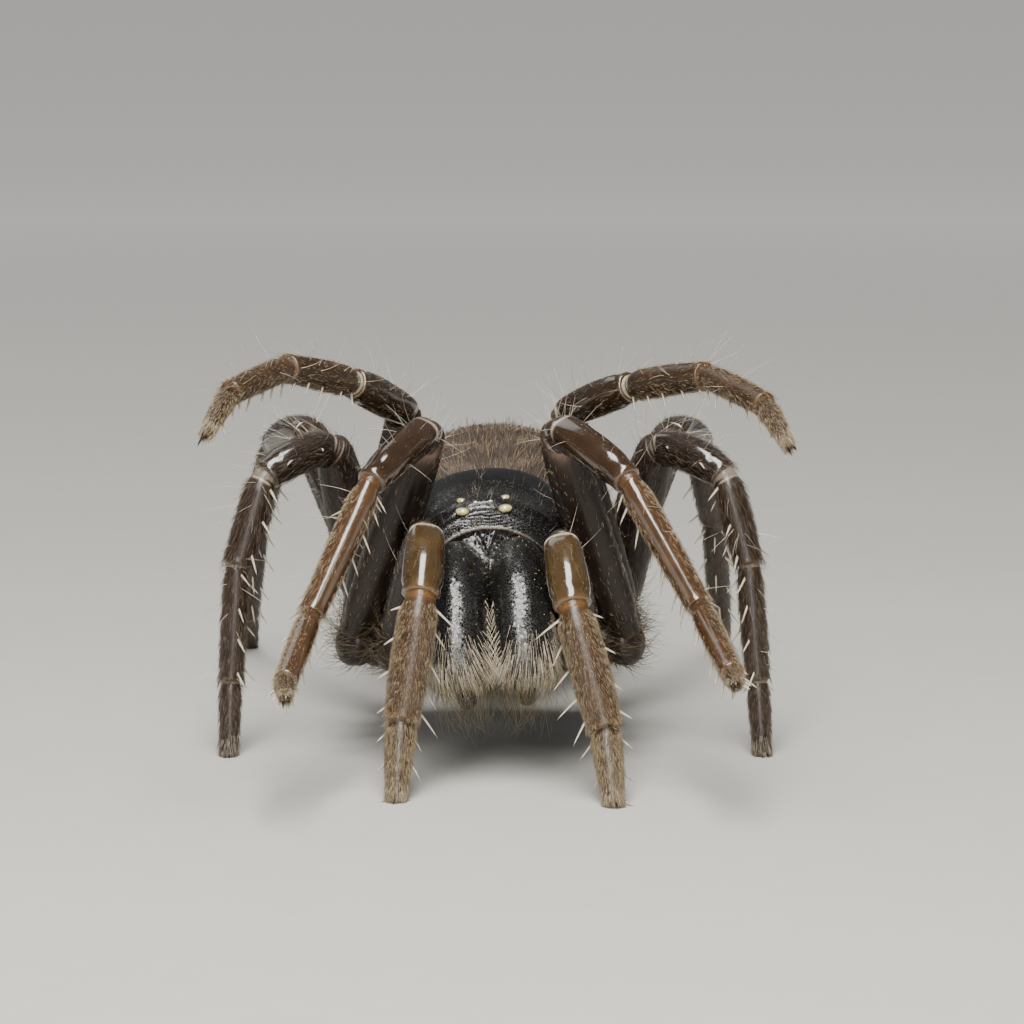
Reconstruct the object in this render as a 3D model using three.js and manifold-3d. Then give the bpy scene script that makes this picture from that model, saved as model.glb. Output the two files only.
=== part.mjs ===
// An adult female trapdoor spider, life size, looking out with its front legs and palps reaching ahead.
// Millimetres, +Z up. It faces -Y, its own left side is +X, and its feet stand on Z = 0.
import * as THREE from "three";
import { mergeVertices } from "three/addons/utils/BufferGeometryUtils.js";
import Module from "manifold-3d";

const wasm = await Module();
wasm.setup();

// Sizes that the joints share
const GAP = 0.1;
const SINK = 0.12;
const BODY_ROLL = -4.4;
const ROLL_HEIGHT = 4.2;
const SEED = 4417;

// How far a standing foot sinks below the floor before it is trimmed to a small flat
const FOOT_SINK = 0.14;

// Front body, its plates and the mouth
const CARAPACE_LENGTH = 6.6;
const CARAPACE_BASE = 3.4;
const CARAPACE_MARGIN = 3.95;
const STERNUM = { y: 3.65, z: 2.55, halfWidth: 1.1, halfLength: 1.6, halfHeight: 0.62 };
const CHELICERA = {
  x: 0.72,
  spread: 0.07,
  z: 4.46,
  reach: 2.05,
  drop: 2.3,
  halfWidth: 0.66,
  halfHeight: 1.02,
};
const CHELICERA_SWELL = 0.2;
const FANG = { radius: 0.26, back: 0.42, down: 0.3, length: 1.9, lift: 0.3 };

// Rear body
const PEDICEL = { from: 6.5, to: 7.3, z: 4.15, radius: 0.42 };
const ABDOMEN = { y: 11.45, z: 4.1, halfWidth: 3.25, halfLength: 4.5, halfHeight: 2.7 };
const TERGITE = { y: 9.25, halfWidth: 1.15, halfLength: 0.95, halfDepth: 0.42, slope: 0.42, rise: 0.12 };
const SPINNERETS = {
  long: { x: 0.52, z: 3.35, length: 2.0, radius: 0.3, joints: 3 },
  median: { x: 0.24, z: 2.82, length: 0.75, radius: 0.2, joints: 1 },
};

// Each limb: where its coxa starts and ends on the rolled body, the lengths of its joints from the hip
// outwards, and half-widths [root, end, swell] for each. Height is the depth of a section over its width.
const LIMBS = {
  palp: {
    inner: [0.62, 1.55, 2.6],
    hip: [2.4, 0.1, 2.72],
    coxa: [0.42, 0.5, 0.05],
    joints: {
      femur: { length: 3.7, girth: [0.34, 0.4, 0.05], height: 1.22, bow: 0.03 },
      patella: { length: 1.9, girth: [0.42, 0.47, 0.05], height: 1.0, bow: 0.05 },
      tibia: { length: 2.9, girth: [0.47, 0.44, 0.05], height: 1.05, bow: 0.02 },
      tarsus: { length: 2.1, girth: [0.38, 0.24, 0.02], height: 1.0, bow: 0.02 },
    },
  },
  leg1: {
    inner: [1.32, 2.35, 2.6],
    hip: [3.4, 1.0, 2.75],
    coxa: [0.4, 0.52, 0.08],
    joints: {
      femur: { length: 5.8, girth: [0.42, 0.42, 0.12], height: 1.18, bow: 0.03 },
      patella: { length: 2.8, girth: [0.38, 0.38, 0.05], height: 1.05, bow: 0.05 },
      tibia: { length: 3.4, girth: [0.33, 0.3, 0.02], height: 1.05, bow: 0.01 },
      metatarsus: { length: 2.9, girth: [0.27, 0.26, 0.02], height: 1.0, bow: 0.02 },
      tarsus: { length: 1.65, girth: [0.26, 0.22, 0.02], height: 1.0, bow: 0.02 },
    },
  },
  leg2: {
    inner: [1.5, 3.25, 2.6],
    hip: [3.4, 2.65, 2.95],
    coxa: [0.4, 0.52, 0.06],
    joints: {
      femur: { length: 5.75, girth: [0.38, 0.4, 0.06], height: 1.15, bow: 0.01 },
      patella: { length: 2.5, girth: [0.36, 0.37, 0.05], height: 1.05, bow: 0.05 },
      tibia: { length: 2.9, girth: [0.34, 0.31, 0.02], height: 1.05, bow: 0.01 },
      metatarsus: { length: 2.8, girth: [0.28, 0.27, 0.02], height: 1.0, bow: 0.02 },
      tarsus: { length: 1.75, girth: [0.26, 0.22, 0.02], height: 1.0, bow: 0.02 },
    },
  },
  leg3: {
    inner: [1.45, 4.15, 2.6],
    hip: [3.2, 4.4, 2.95],
    coxa: [0.4, 0.52, 0.06],
    joints: {
      femur: { length: 4.55, girth: [0.4, 0.42, 0.12], height: 1.15, bow: 0.03 },
      patella: { length: 2.0, girth: [0.38, 0.4, 0.06], height: 1.0, bow: 0.06 },
      tibia: { length: 2.25, girth: [0.36, 0.34, 0.03], height: 1.0, bow: 0.01 },
      metatarsus: { length: 2.85, girth: [0.3, 0.28, 0.02], height: 1.0, bow: 0.01 },
      tarsus: { length: 1.95, girth: [0.27, 0.23, 0.02], height: 1.0, bow: 0.01 },
    },
  },
  leg4: {
    inner: [1.12, 5.05, 2.6],
    hip: [2.75, 6.15, 3.0],
    coxa: [0.4, 0.54, 0.08],
    joints: {
      femur: { length: 5.0, girth: [0.42, 0.44, 0.12], height: 1.18, bow: 0.03 },
      patella: { length: 2.4, girth: [0.4, 0.42, 0.05], height: 1.0, bow: 0.05 },
      tibia: { length: 3.4, girth: [0.37, 0.34, 0.03], height: 1.0, bow: 0.01 },
      metatarsus: { length: 3.7, girth: [0.3, 0.28, 0.02], height: 1.0, bow: 0.01 },
      tarsus: { length: 1.95, girth: [0.27, 0.23, 0.02], height: 1.0, bow: 0.01 },
    },
  },
};

// The pose. Each joint has its heading, in degrees outwards from straight ahead, and its climb above level.
// A last joint with no climb comes down to the floor.
const POSE = {
  palp: {
    left: [[-16, 49.5], [8, -37], [52, -71], [11]],
    right: [[-23, 54], [2, -36], [42, -77], [9]],
  },
  leg1: {
    left: [[-47, 66], [36, -17], [60, -56], [14, -23], [0, 2]],
    right: [[-50, 65], [28, -17], [53, -60], [10, -22], [-3, -3]],
  },
  leg2: {
    left: [[-46, 69], [39, 21], [36, 10], [26, -8], [18, -27]],
    right: [[-41, 70], [30, 23], [31, 12], [24, -6], [18, -27]],
  },
  leg3: {
    left: [[40, 70], [51, -15], [56, -71], [34, -82], [14]],
    right: [[30, 70], [51, -15], [63, -70], [27, -83], [7]],
  },
  leg4: {
    left: [[144, 50], [160, -10], [168, -44], [172, -53], [176]],
    right: [[141, 51], [156, -12], [165, -43], [170, -53], [178]],
  },
};

// The spines: rows of [around, count] on each joint, around being degrees from straight below towards the
// front. On a palp the front is the side towards the jaws. A row may give its spines a length of their own.
const LONG_SPINE = 1.05;
const SPINES = {
  palp: { tibia: [[70, 4], [-50, 2]], tarsus: [[30, 2]] },
  leg1: { tibia: [[50, 4], [-40, 3]], metatarsus: [[35, 3], [-35, 3]] },
  leg2: {
    patella: [[180, 2, LONG_SPINE]],
    tibia: [[40, 3], [-40, 2]],
    metatarsus: [[35, 2], [-35, 2], [180, 1, LONG_SPINE]],
  },
  leg3: { patella: [[180, 2, LONG_SPINE]], tibia: [[80, 1], [-80, 1]], metatarsus: [[100, 2], [-60, 2]] },
  leg4: { patella: [[180, 1, LONG_SPINE]], tibia: [[60, 1], [-60, 2]], metatarsus: [[60, 2], [-60, 2]] },
};
const SPINE = { radius: 0.13, length: 0.75, lean: 48, sides: 5 };

const COLOURS = {
  blackCuticle: { color: 0x14100d, roughness: 0.28, metalness: 0 },
  darkCuticle: { color: 0x241710, roughness: 0.4, metalness: 0 },
  brownCuticle: { color: 0x5a2a12, roughness: 0.35, metalness: 0 },
  abdomenSkin: { color: 0x3b2a22, roughness: 0.7, metalness: 0 },
  eyeLens: { color: 0xc9a24e, roughness: 0.12, metalness: 0 },
  eyeDark: { color: 0x0a0806, roughness: 0.1, metalness: 0 },
};

const degrees = THREE.MathUtils.degToRad;
const vector = (list) => new THREE.Vector3(...list);
const bodyRoll = new THREE.Matrix4()
  .makeTranslation(0, 0, ROLL_HEIGHT)
  .multiply(new THREE.Matrix4().makeRotationY(degrees(BODY_ROLL)))
  .multiply(new THREE.Matrix4().makeTranslation(0, 0, -ROLL_HEIGHT));

// A seeded draw between -1 and 1
function drawer(seed) {
  let state = seed;
  return () => {
    state = (state * 1664525 + 1013904223) % 4294967296;
    return (state / 4294967296) * 2 - 1;
  };
}

// A geometry as a manifold solid, facing out
function solidOf(geometry) {
  const bare = new THREE.BufferGeometry();
  bare.setAttribute("position", geometry.getAttribute("position"));
  bare.setIndex(geometry.index);
  const merged = mergeVertices(bare, 1e-5);
  const faces = [];
  for (let i = 0; i < merged.index.count; i += 3) {
    const [a, b, c] = [0, 1, 2].map((k) => merged.index.getX(i + k));
    if (a !== b && b !== c && c !== a) faces.push([a, b, c]);
  }
  const build = (list) =>
    new wasm.Manifold(
      new wasm.Mesh({
        numProp: 3,
        vertProperties: new Float32Array(merged.attributes.position.array),
        triVerts: new Uint32Array(list.flat()),
      }),
    );
  const made = build(faces);
  return made.volume() > 0 ? made : build(faces.map(([a, b, c]) => [a, c, b]));
}

const largest = (solid) =>
  solid.decompose().reduce((best, piece) => (piece.volume() > best.volume() ? piece : best));

const union = (pieces) => pieces.reduce((sum, piece) => sum.add(piece));

function geometryOf(solid) {
  const mesh = solid.getMesh();
  const geometry = new THREE.BufferGeometry();
  geometry.setAttribute("position", new THREE.BufferAttribute(mesh.vertProperties, 3));
  geometry.setIndex(new THREE.BufferAttribute(mesh.triVerts, 1));
  geometry.computeVertexNormals();
  return geometry;
}

// A closed round body whose sections follow place(t, across, deep), where t runs from 0 to 1 along it and
// across and deep run from -1 to 1 over a section. Each end is rounded off over its own share of t.
function loft(place, { sides = 10, steps = 5, startRound = 0, endRound = 0 }) {
  const profile = [new THREE.Vector2(0, 0)];
  if (startRound) profile.push(new THREE.Vector2(0.68, startRound * 0.27));
  for (let i = 0; i <= steps; i++) {
    const share = startRound + (1 - startRound - endRound) * (i / steps);
    profile.push(new THREE.Vector2(1, share));
  }
  if (endRound) profile.push(new THREE.Vector2(0.68, 1 - endRound * 0.27));
  profile.push(new THREE.Vector2(0, 1));
  const geometry = new THREE.LatheGeometry(profile, sides);
  const position = geometry.attributes.position;
  for (let i = 0; i < position.count; i++) {
    const spot = place(position.getY(i), position.getX(i), position.getZ(i));
    position.setXYZ(i, spot.x, spot.y, spot.z);
  }
  return solidOf(geometry);
}

// A tapering shaft from one joint to the next. side is the leg's hinge direction, and it bows away from its
// underside. girth is [root, end, swell]; grow widens it and lengthens its root, for cutting its neighbour.
function shaft({ from, to, side, girth, height, bow, steps = 4, sides = 8, grow = 0, startRound, endRound }) {
  const along = to.clone().sub(from);
  const length = along.length();
  along.divideScalar(length);
  const across = side.clone().addScaledVector(along, -side.dot(along)).normalize();
  const upper = across.clone().cross(along).normalize();
  const start = from.clone().addScaledVector(along, -grow);
  const [root, end, swell] = girth;
  const place = (t, x, z) => {
    const half = root + (end - root) * t + swell * Math.sin(Math.PI * Math.min(1, Math.max(0, t))) + grow;
    return start
      .clone()
      .addScaledVector(along, t * (length + grow))
      .addScaledVector(upper, bow * length * 4 * t * (1 - t) + z * half * height)
      .addScaledVector(across, x * half);
  };
  return loft(place, { sides, steps, startRound, endRound });
}

// A cone that stands on a surface point, its root sunk in
function spike(root, direction, length, radius, sides) {
  const cone = new THREE.ConeGeometry(radius, length + SINK, sides);
  cone.translate(0, (length - SINK) / 2, 0);
  cone.applyQuaternion(new THREE.Quaternion().setFromUnitVectors(new THREE.Vector3(0, 1, 0), direction));
  cone.translate(root.x, root.y, root.z);
  return solidOf(cone);
}

// The direction of a joint from its heading and climb on one side of the animal
function heading([turn, climb], sign) {
  const level = Math.cos(degrees(climb));
  return new THREE.Vector3(
    sign * Math.sin(degrees(turn)) * level,
    -Math.cos(degrees(turn)) * level,
    Math.sin(degrees(climb)),
  );
}

// The joint points of a limb, from its hip to its tip
function jointPoints(limb, pose, sign) {
  const points = [vector(limb.hip).multiply(vector([sign, 1, 1]))];
  Object.values(limb.joints).forEach(({ length }, i) => {
    const last = points[i];
    const [turn, climb] = pose[i];
    const fall = -THREE.MathUtils.radToDeg(Math.asin((last.z + FOOT_SINK) / length));
    points.push(last.clone().addScaledVector(heading([turn, climb ?? fall], sign), length));
  });
  return points;
}

// Rows of spines on one joint of a limb
function spineRows(rows, joint, from, to, side, draw) {
  const along = to.clone().sub(from);
  const length = along.length();
  along.divideScalar(length);
  const across = side.clone().addScaledVector(along, -side.dot(along)).normalize();
  const lower = along.clone().cross(across).normalize();
  const [root, end, swell] = joint.girth;
  return rows.flatMap(([around, count, size = SPINE.length]) =>
    Array.from({ length: count }, (_, i) => {
      const t = (i + 0.75 + 0.12 * draw()) / (count + 0.6);
      const half = root + (end - root) * t + swell * Math.sin(Math.PI * t);
      const turn = degrees(around + 6 * draw());
      const out = lower.clone().multiplyScalar(Math.cos(turn)).addScaledVector(across, Math.sin(turn));
      const lean = degrees(SPINE.lean + 5 * draw());
      const direction = out.clone().multiplyScalar(Math.cos(lean)).addScaledVector(along, Math.sin(lean));
      const spot = from
        .clone()
        .addScaledVector(along, t * length)
        .addScaledVector(lower, -joint.bow * length * 4 * t * (1 - t))
        .addScaledVector(out, half * 0.92);
      return spike(spot, direction.normalize(), size * (1 + 0.12 * draw()), SPINE.radius, SPINE.sides);
    }),
  );
}

// Two claws at a tip, held above the floor
function claws(tip, along, side, count) {
  const across = side.clone().addScaledVector(along, -side.dot(along)).normalize();
  const level = along.clone().setZ(Math.max(along.z, -0.1)).normalize();
  return Array.from({ length: count }, (_, i) => {
    const offset = count === 1 ? 0 : i * 2 - 1;
    const direction = level.clone().addScaledVector(across, 0.28 * offset).normalize();
    const root = tip.clone().addScaledVector(across, 0.07 * offset);
    root.z = Math.max(root.z, 0.16);
    return spike(root, direction, 0.4, 0.1, 5);
  });
}

// One limb as four nodes: coxa with trochanter, femur, patella with tibia, and foot
function limbSolids(name, side, draw) {
  const limb = LIMBS[name];
  const sign = side === "left" ? 1 : -1;
  const points = jointPoints(limb, POSE[name][side], sign);
  const names = Object.keys(limb.joints);
  const way = points.slice(1).map((point, i) => point.clone().sub(points[i]).normalize());
  const hinge = way[2].clone().cross(way[0]).normalize();
  const ahead = name === "palp" ? -hinge.x * sign : -hinge.y;
  const frontwards = ahead > 0 ? 1 : -1;
  const joint = (i, grow = 0, extra = {}) => {
    const shape = limb.joints[names[i]];
    const setback = i === 0 ? shape.girth[0] * 1.2 + GAP : extra.setback ?? 2 * GAP;
    return shaft({
      ...shape,
      ...extra,
      from: points[i].clone().addScaledVector(way[i], setback),
      to: points[i + 1].clone().addScaledVector(way[i], extra.over ?? 0),
      side: hinge,
      grow,
      startRound: grow ? 0 : 0.02,
      endRound: (0.9 * shape.girth[1]) / shape.length,
    });
  };
  const over = (i) => limb.joints[names[i]].girth[1] * 0.85;
  const spines = (i) => {
    const rows = (SPINES[name][names[i]] ?? []).map(([around, ...rest]) => [around * frontwards, ...rest]);
    return spineRows(rows, limb.joints[names[i]], points[i], points[i + 1], hinge, draw);
  };
  const inner = vector(limb.inner).multiply(vector([sign, 1, 1])).applyMatrix4(bodyRoll);
  const [coxaRoot, coxaEnd, coxaSwell] = limb.coxa;
  const coxa = shaft({
    from: inner,
    to: points[0].clone().addScaledVector(points[0].clone().sub(inner).normalize(), coxaEnd * 0.6),
    side: new THREE.Vector3(0, 0, 1),
    girth: [coxaRoot, coxaEnd, coxaSwell],
    height: 1,
    bow: 0,
    startRound: 0.06,
    endRound: 0.3,
  });
  const femur = joint(0, 0, { over: over(0) });
  const fused = { setback: -GAP };
  const shin = joint(2, 0, { over: over(2) * 0.6, ...fused });
  const bent = union([joint(1, 0, { over: over(1) }), shin, ...spines(1), ...spines(2)]);
  const last = names.length - 1;
  const floor = (solid) => (POSE[name][side][last].length === 1 ? solid.trimByPlane([0, 0, 1], 0) : solid);
  const footPieces = [joint(last, 0, last === 4 ? fused : {}), ...spines(last)];
  footPieces.push(...claws(points[last + 1], way[last], hinge, name === "palp" ? 1 : 2));
  if (last === 4) footPieces.push(joint(3, 0, { over: over(3) * 0.6 }), ...spines(3));
  return {
    coxa: largest(coxa.subtract(joint(0, GAP))),
    femur: largest(femur.subtract(joint(1, GAP))),
    shin: largest(bent.subtract(joint(3, GAP))),
    foot: largest(floor(union(footPieces))),
    origin: points[0],
  };
}

// Heights and half-widths of the carapace, from its front edge back: [y, half-width, crown]
const CARAPACE_ROWS = [
  [0.0, 1.72, 5.7],
  [0.15, 1.86, 6.02],
  [0.35, 2.0, 6.25],
  [0.9, 2.2, 6.44],
  [1.9, 2.38, 6.75],
  [2.9, 2.68, 6.8],
  [3.9, 2.86, 6.3],
  [4.6, 2.84, 5.7],
  [5.5, 2.5, 5.4],
  [6.2, 1.86, 4.95],
  [CARAPACE_LENGTH, 1.1, 4.45],
];

function rowAt(rows, y) {
  const next = Math.max(1, rows.findIndex((row) => row[0] >= y - 1e-9));
  const [a, b] = [rows[next - 1], rows[next]];
  const share = (y - a[0]) / (b[0] - a[0]);
  return a.map((value, i) => value + (b[i] - value) * share);
}

// The carapace: an arched plate over the legs, highest behind the eyes, flat in front where the jaws hinge
function carapace() {
  const rows = CARAPACE_ROWS;
  const place = (t, x, z) => {
    const [y, half, crown] = rowAt(rows, t * CARAPACE_LENGTH);
    const rise = z > 0 ? (crown - CARAPACE_MARGIN) * z ** 0.86 : (CARAPACE_MARGIN - CARAPACE_BASE) * z;
    const spread = Math.sign(x) * Math.abs(x) ** 0.93;
    return new THREE.Vector3(spread * half * (z < 0 ? 1 + 0.12 * z : 1), y, CARAPACE_MARGIN + rise);
  };
  const stations = rows.map((row) => row[0] / CARAPACE_LENGTH);
  const profile = [new THREE.Vector2(0, 0)];
  stations.forEach((t) => profile.push(new THREE.Vector2(1, t)));
  profile.push(new THREE.Vector2(0, 1));
  const geometry = new THREE.LatheGeometry(profile, 26);
  const position = geometry.attributes.position;
  for (let i = 0; i < position.count; i++) {
    const spot = place(position.getY(i), position.getX(i), position.getZ(i));
    position.setXYZ(i, spot.x, spot.y, spot.z);
  }
  return solidOf(geometry);
}

// Where the eyes sit, over the front edge
const EYES = {
  anterior_median: { x: 0.17, y: 0.25, z: 6.34, radius: 0.08 },
  anterior_lateral: { x: 0.5, y: 0.2, z: 6.14, radius: 0.15 },
  posterior_lateral: { x: 0.5, y: 0.56, z: 6.33, radius: 0.12 },
  posterior_median: { x: 0.3, y: 0.84, z: 6.39, radius: 0.09 },
};
const EYE_CLEARANCE = 0.04;

// The low mound that the eyes stand on
const EYE_MOUND = { y: 0.5, z: 6.14, halfWidth: 0.74, halfLength: 0.48, halfHeight: 0.25 };

function ellipsoid(centre, radii, segments = 12, rings = 8) {
  const ball = new THREE.SphereGeometry(1, segments, rings);
  ball.scale(...radii);
  ball.translate(...centre);
  return solidOf(ball);
}

// One jaw: a deep curved box that leaves the carapace level, then turns down
function chelicera(sign) {
  const { x, spread, z, reach, drop, halfWidth, halfHeight } = CHELICERA;
  const path = new THREE.QuadraticBezierCurve3(
    vector([sign * x, -GAP, z]),
    vector([sign * (x + spread / 2), -0.78 * reach, z + 0.05]),
    vector([sign * (x + spread), -reach, z - drop]),
  );
  const across = new THREE.Vector3(1, 0, 0);
  const place = (t, side, deep) => {
    const spot = path.getPoint(t);
    const upper = across.clone().cross(path.getTangent(t)).normalize();
    const bulge = CHELICERA_SWELL * Math.sin(Math.PI * t ** 0.9);
    const square = (v) => Math.sign(v) * Math.abs(v) ** 0.8;
    return spot
      .addScaledVector(upper, square(deep) * (halfHeight + bulge) * (1 - 0.16 * t ** 4))
      .addScaledVector(across, square(side) * halfWidth * (1 + 0.12 * t) * (1 - 0.06 * t ** 4));
  };
  return { solid: loft(place, { sides: 14, steps: 7, startRound: 0.0, endRound: 0.14 }), path, place };
}

// The stout bristles along the lower edge of a jaw, seen in front as a fringe
function rake(place, draw) {
  const count = 6;
  return Array.from({ length: count }, (_, i) => {
    const share = i / (count - 1);
    const root = place(0.93, Math.cos(share * Math.PI) * 0.66, 0.62 + 0.1 * draw());
    const direction = vector([Math.cos(share * Math.PI) * 0.18, -0.3 + 0.1 * draw(), -1]).normalize();
    return spike(root, direction, 0.55 + 0.1 * draw(), 0.15, 5);
  });
}

// The fang, hinged under the end of its jaw and folded back beneath it
function fang(sign) {
  const { radius, back, down, length, lift } = FANG;
  const hingeHeight = CHELICERA.z - CHELICERA.drop - GAP;
  const start = vector([sign * CHELICERA.x, back - CHELICERA.reach, hingeHeight]);
  const path = new THREE.QuadraticBezierCurve3(
    start,
    start.clone().add(vector([0, -GAP, -down * 1.6])),
    start.clone().add(vector([sign * -0.12, length, lift - down])),
  );
  const across = new THREE.Vector3(1, 0, 0);
  const place = (t, side, deep) => {
    const half = radius * (1 - 0.86 * t ** 1.3);
    const upper = across.clone().cross(path.getTangent(Math.max(t, 0.001))).normalize();
    return path.getPoint(t).addScaledVector(upper, deep * half).addScaledVector(across, side * half);
  };
  return loft(place, { sides: 8, steps: 7 });
}

// The breastplate between the leg bases, with the lip at its front
function sternum() {
  const { y, z, halfWidth, halfLength, halfHeight } = STERNUM;
  const plate = ellipsoid([0, y, z], [halfWidth, halfLength, halfHeight], 18, 10);
  const lip = ellipsoid([0, y - halfLength - 0.05, z - 0.05], [0.48, 0.42, 0.4], 10, 8);
  return union([plate, lip]);
}

// The soft rear body, egg-shaped and fuller behind, with a hard plate on its front slope
function abdomen(grow = 0) {
  const { y, z } = ABDOMEN;
  const [halfWidth, halfLength] = [ABDOMEN.halfWidth + grow, ABDOMEN.halfLength + grow];
  const halfHeight = ABDOMEN.halfHeight + grow;
  const ball = new THREE.SphereGeometry(1, 24, 16);
  ball.rotateX(Math.PI / 2);
  const position = ball.attributes.position;
  for (let i = 0; i < position.count; i++) {
    const [px, py, pz] = [position.getX(i), position.getY(i), position.getZ(i)];
    const full = 1 + 0.13 * py - 0.05 * py * py;
    position.setXYZ(i, px * halfWidth * full, y + py * halfLength, z + pz * halfHeight * full);
  }
  const slope = (TERGITE.y - y) / halfLength;
  const crown = z + halfHeight * Math.sqrt(1 - slope * slope) * (1 + 0.13 * slope - 0.05 * slope * slope);
  const plate = new THREE.SphereGeometry(1, 14, 8);
  plate.scale(TERGITE.halfWidth, TERGITE.halfLength, TERGITE.halfDepth);
  plate.rotateX(TERGITE.slope);
  plate.translate(0, TERGITE.y, crown - TERGITE.halfDepth + TERGITE.rise);
  return union([solidOf(ball), solidOf(plate)]);
}

// A spinneret, pinched between its joints. The long ones lie outside the median ones.
function spinneret({ x, z, length, radius, joints }, sign) {
  const root = vector([sign * x, ABDOMEN.y + ABDOMEN.halfLength * 0.9, z]);
  const way = vector([sign * 0.22, 1, 0.12]).normalize();
  const place = (t, side, deep) => {
    const pinch = 1 - 0.1 * Math.cos(t * Math.PI * 2 * joints);
    const half = radius * (1 - 0.45 * t) * pinch;
    return root
      .clone()
      .addScaledVector(way, t * length)
      .add(vector([side * half, 0, deep * half]));
  };
  return loft(place, { sides: 8, steps: 3 * joints + 1, endRound: 0.12 });
}

// Everything on the body is rolled with it
const spider = new THREE.Group();
const draw = drawer(SEED);

function add(name, solid, finish, origin = new THREE.Vector3()) {
  const geometry = geometryOf(solid);
  geometry.translate(-origin.x, -origin.y, -origin.z);
  const mesh = new THREE.Mesh(geometry, new THREE.MeshStandardMaterial(COLOURS[finish]));
  mesh.name = name;
  mesh.position.copy(origin);
  spider.add(mesh);
}

const rolled = (solid) => solid.transform(bodyRoll.elements.slice());

const sides = { left: 1, right: -1 };
const eyeMound = ellipsoid(
  [0, EYE_MOUND.y, EYE_MOUND.z],
  [EYE_MOUND.halfWidth, EYE_MOUND.halfLength, EYE_MOUND.halfHeight],
);
let head = union([carapace(), eyeMound]);

for (const [name, eye] of Object.entries(EYES)) {
  for (const [side, sign] of Object.entries(sides)) {
    const centre = [sign * eye.x, eye.y, eye.z];
    const lens = ellipsoid(centre, Array(3).fill(eye.radius), 8, 6);
    const socket = ellipsoid(centre, Array(3).fill(eye.radius + EYE_CLEARANCE), 8, 6);
    head = head.subtract(socket);
    const finish = name === "anterior_median" ? "eyeDark" : "eyeLens";
    add(`eye_${name}_${side}`, rolled(lens), finish);
  }
}
add("carapace", rolled(largest(head)), "blackCuticle");

for (const [side, sign] of Object.entries(sides)) {
  const jaw = chelicera(sign);
  add(`chelicera_${side}`, rolled(largest(union([jaw.solid, ...rake(jaw.place, draw)]))), "blackCuticle");
  add(`fang_${side}`, rolled(fang(sign)), "darkCuticle");
}

add("sternum", rolled(sternum()), "darkCuticle");

const rear = abdomen();
const clearance = abdomen(GAP);
for (const [kind, shape] of Object.entries(SPINNERETS)) {
  for (const [side, sign] of Object.entries(sides)) {
    const whole = spinneret(shape, sign);
    add(`spinneret_${kind}_${side}`, rolled(largest(whole.subtract(clearance))), "abdomenSkin");
  }
}
add("abdomen", rolled(rear), "abdomenSkin");

const neck = shaft({
  from: vector([0, PEDICEL.from + 2 * GAP, PEDICEL.z]),
  to: vector([0, PEDICEL.to, PEDICEL.z]),
  side: new THREE.Vector3(1, 0, 0),
  girth: [PEDICEL.radius, PEDICEL.radius, -0.06],
  height: 1,
  bow: 0,
});
add("pedicel", rolled(largest(neck.subtract(clearance))), "darkCuticle");

const FINISHES = { coxa: "darkCuticle", femur: "darkCuticle", shin: "brownCuticle", foot: "brownCuticle" };
for (const name of Object.keys(LIMBS)) {
  const nodeNames = {
    coxa: name === "palp" ? "maxilla" : "coxa",
    femur: "femur",
    shin: "patella_tibia",
    foot: name === "palp" ? "tarsus" : "foot",
  };
  for (const side of Object.keys(sides)) {
    const solids = limbSolids(name, side, draw);
    for (const [key, node] of Object.entries(nodeNames)) {
      add(`${name}_${side}_${node}`, solids[key], FINISHES[key], solids.origin);
    }
  }
}

// Stand it with the middle of its outline over the origin
const outline = new THREE.Box3().setFromObject(spider);
const middle = outline.getCenter(new THREE.Vector3());
spider.position.set(-middle.x, -middle.y, 0);

export default spider;
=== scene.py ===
# A life-size adult female trapdoor spider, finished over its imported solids.
# Sizes are in millimetres until a mesh is made. Up is +Z and the spider faces -Y.
import math

import bpy
import numpy as np
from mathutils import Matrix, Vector


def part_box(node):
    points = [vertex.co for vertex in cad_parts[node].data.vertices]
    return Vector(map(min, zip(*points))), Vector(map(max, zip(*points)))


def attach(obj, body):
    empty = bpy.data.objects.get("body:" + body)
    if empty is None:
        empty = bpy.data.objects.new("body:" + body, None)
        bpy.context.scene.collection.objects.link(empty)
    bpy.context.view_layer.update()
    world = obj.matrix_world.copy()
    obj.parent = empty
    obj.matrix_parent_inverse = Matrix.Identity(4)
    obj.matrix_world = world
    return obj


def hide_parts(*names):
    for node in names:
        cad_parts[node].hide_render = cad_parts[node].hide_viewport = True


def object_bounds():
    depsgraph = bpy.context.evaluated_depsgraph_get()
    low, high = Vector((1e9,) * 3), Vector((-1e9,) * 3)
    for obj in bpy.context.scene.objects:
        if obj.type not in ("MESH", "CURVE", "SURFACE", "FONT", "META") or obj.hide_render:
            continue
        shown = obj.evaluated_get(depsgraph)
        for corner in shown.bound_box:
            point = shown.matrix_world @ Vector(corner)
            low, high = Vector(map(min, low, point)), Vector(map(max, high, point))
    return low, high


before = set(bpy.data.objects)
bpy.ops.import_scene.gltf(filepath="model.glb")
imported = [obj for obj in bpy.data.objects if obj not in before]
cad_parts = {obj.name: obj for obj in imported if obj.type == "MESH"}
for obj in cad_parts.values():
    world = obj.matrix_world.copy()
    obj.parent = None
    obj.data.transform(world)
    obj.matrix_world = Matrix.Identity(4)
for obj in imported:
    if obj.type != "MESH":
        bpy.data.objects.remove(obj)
CAD_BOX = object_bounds()

MM = 0.001
X_AXIS = np.array((1.0, 0, 0))
TAU = 2 * math.pi
RNG = np.random.default_rng(4417)

# The body's lean to one side and the height it leans about, shared with the solids
BODY_ROLL = math.radians(-4.4)
ROLL_HEIGHT = 4.2

# How far below the floor a standing tip aims, so that it is cut flat there
FOOT_SINK = 0.14

# How far the longest hairs may stand out of the solids' box, and how short that may make one
OVERHANG = 0.2
SHORTEST_HAIR = 0.12

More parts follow.
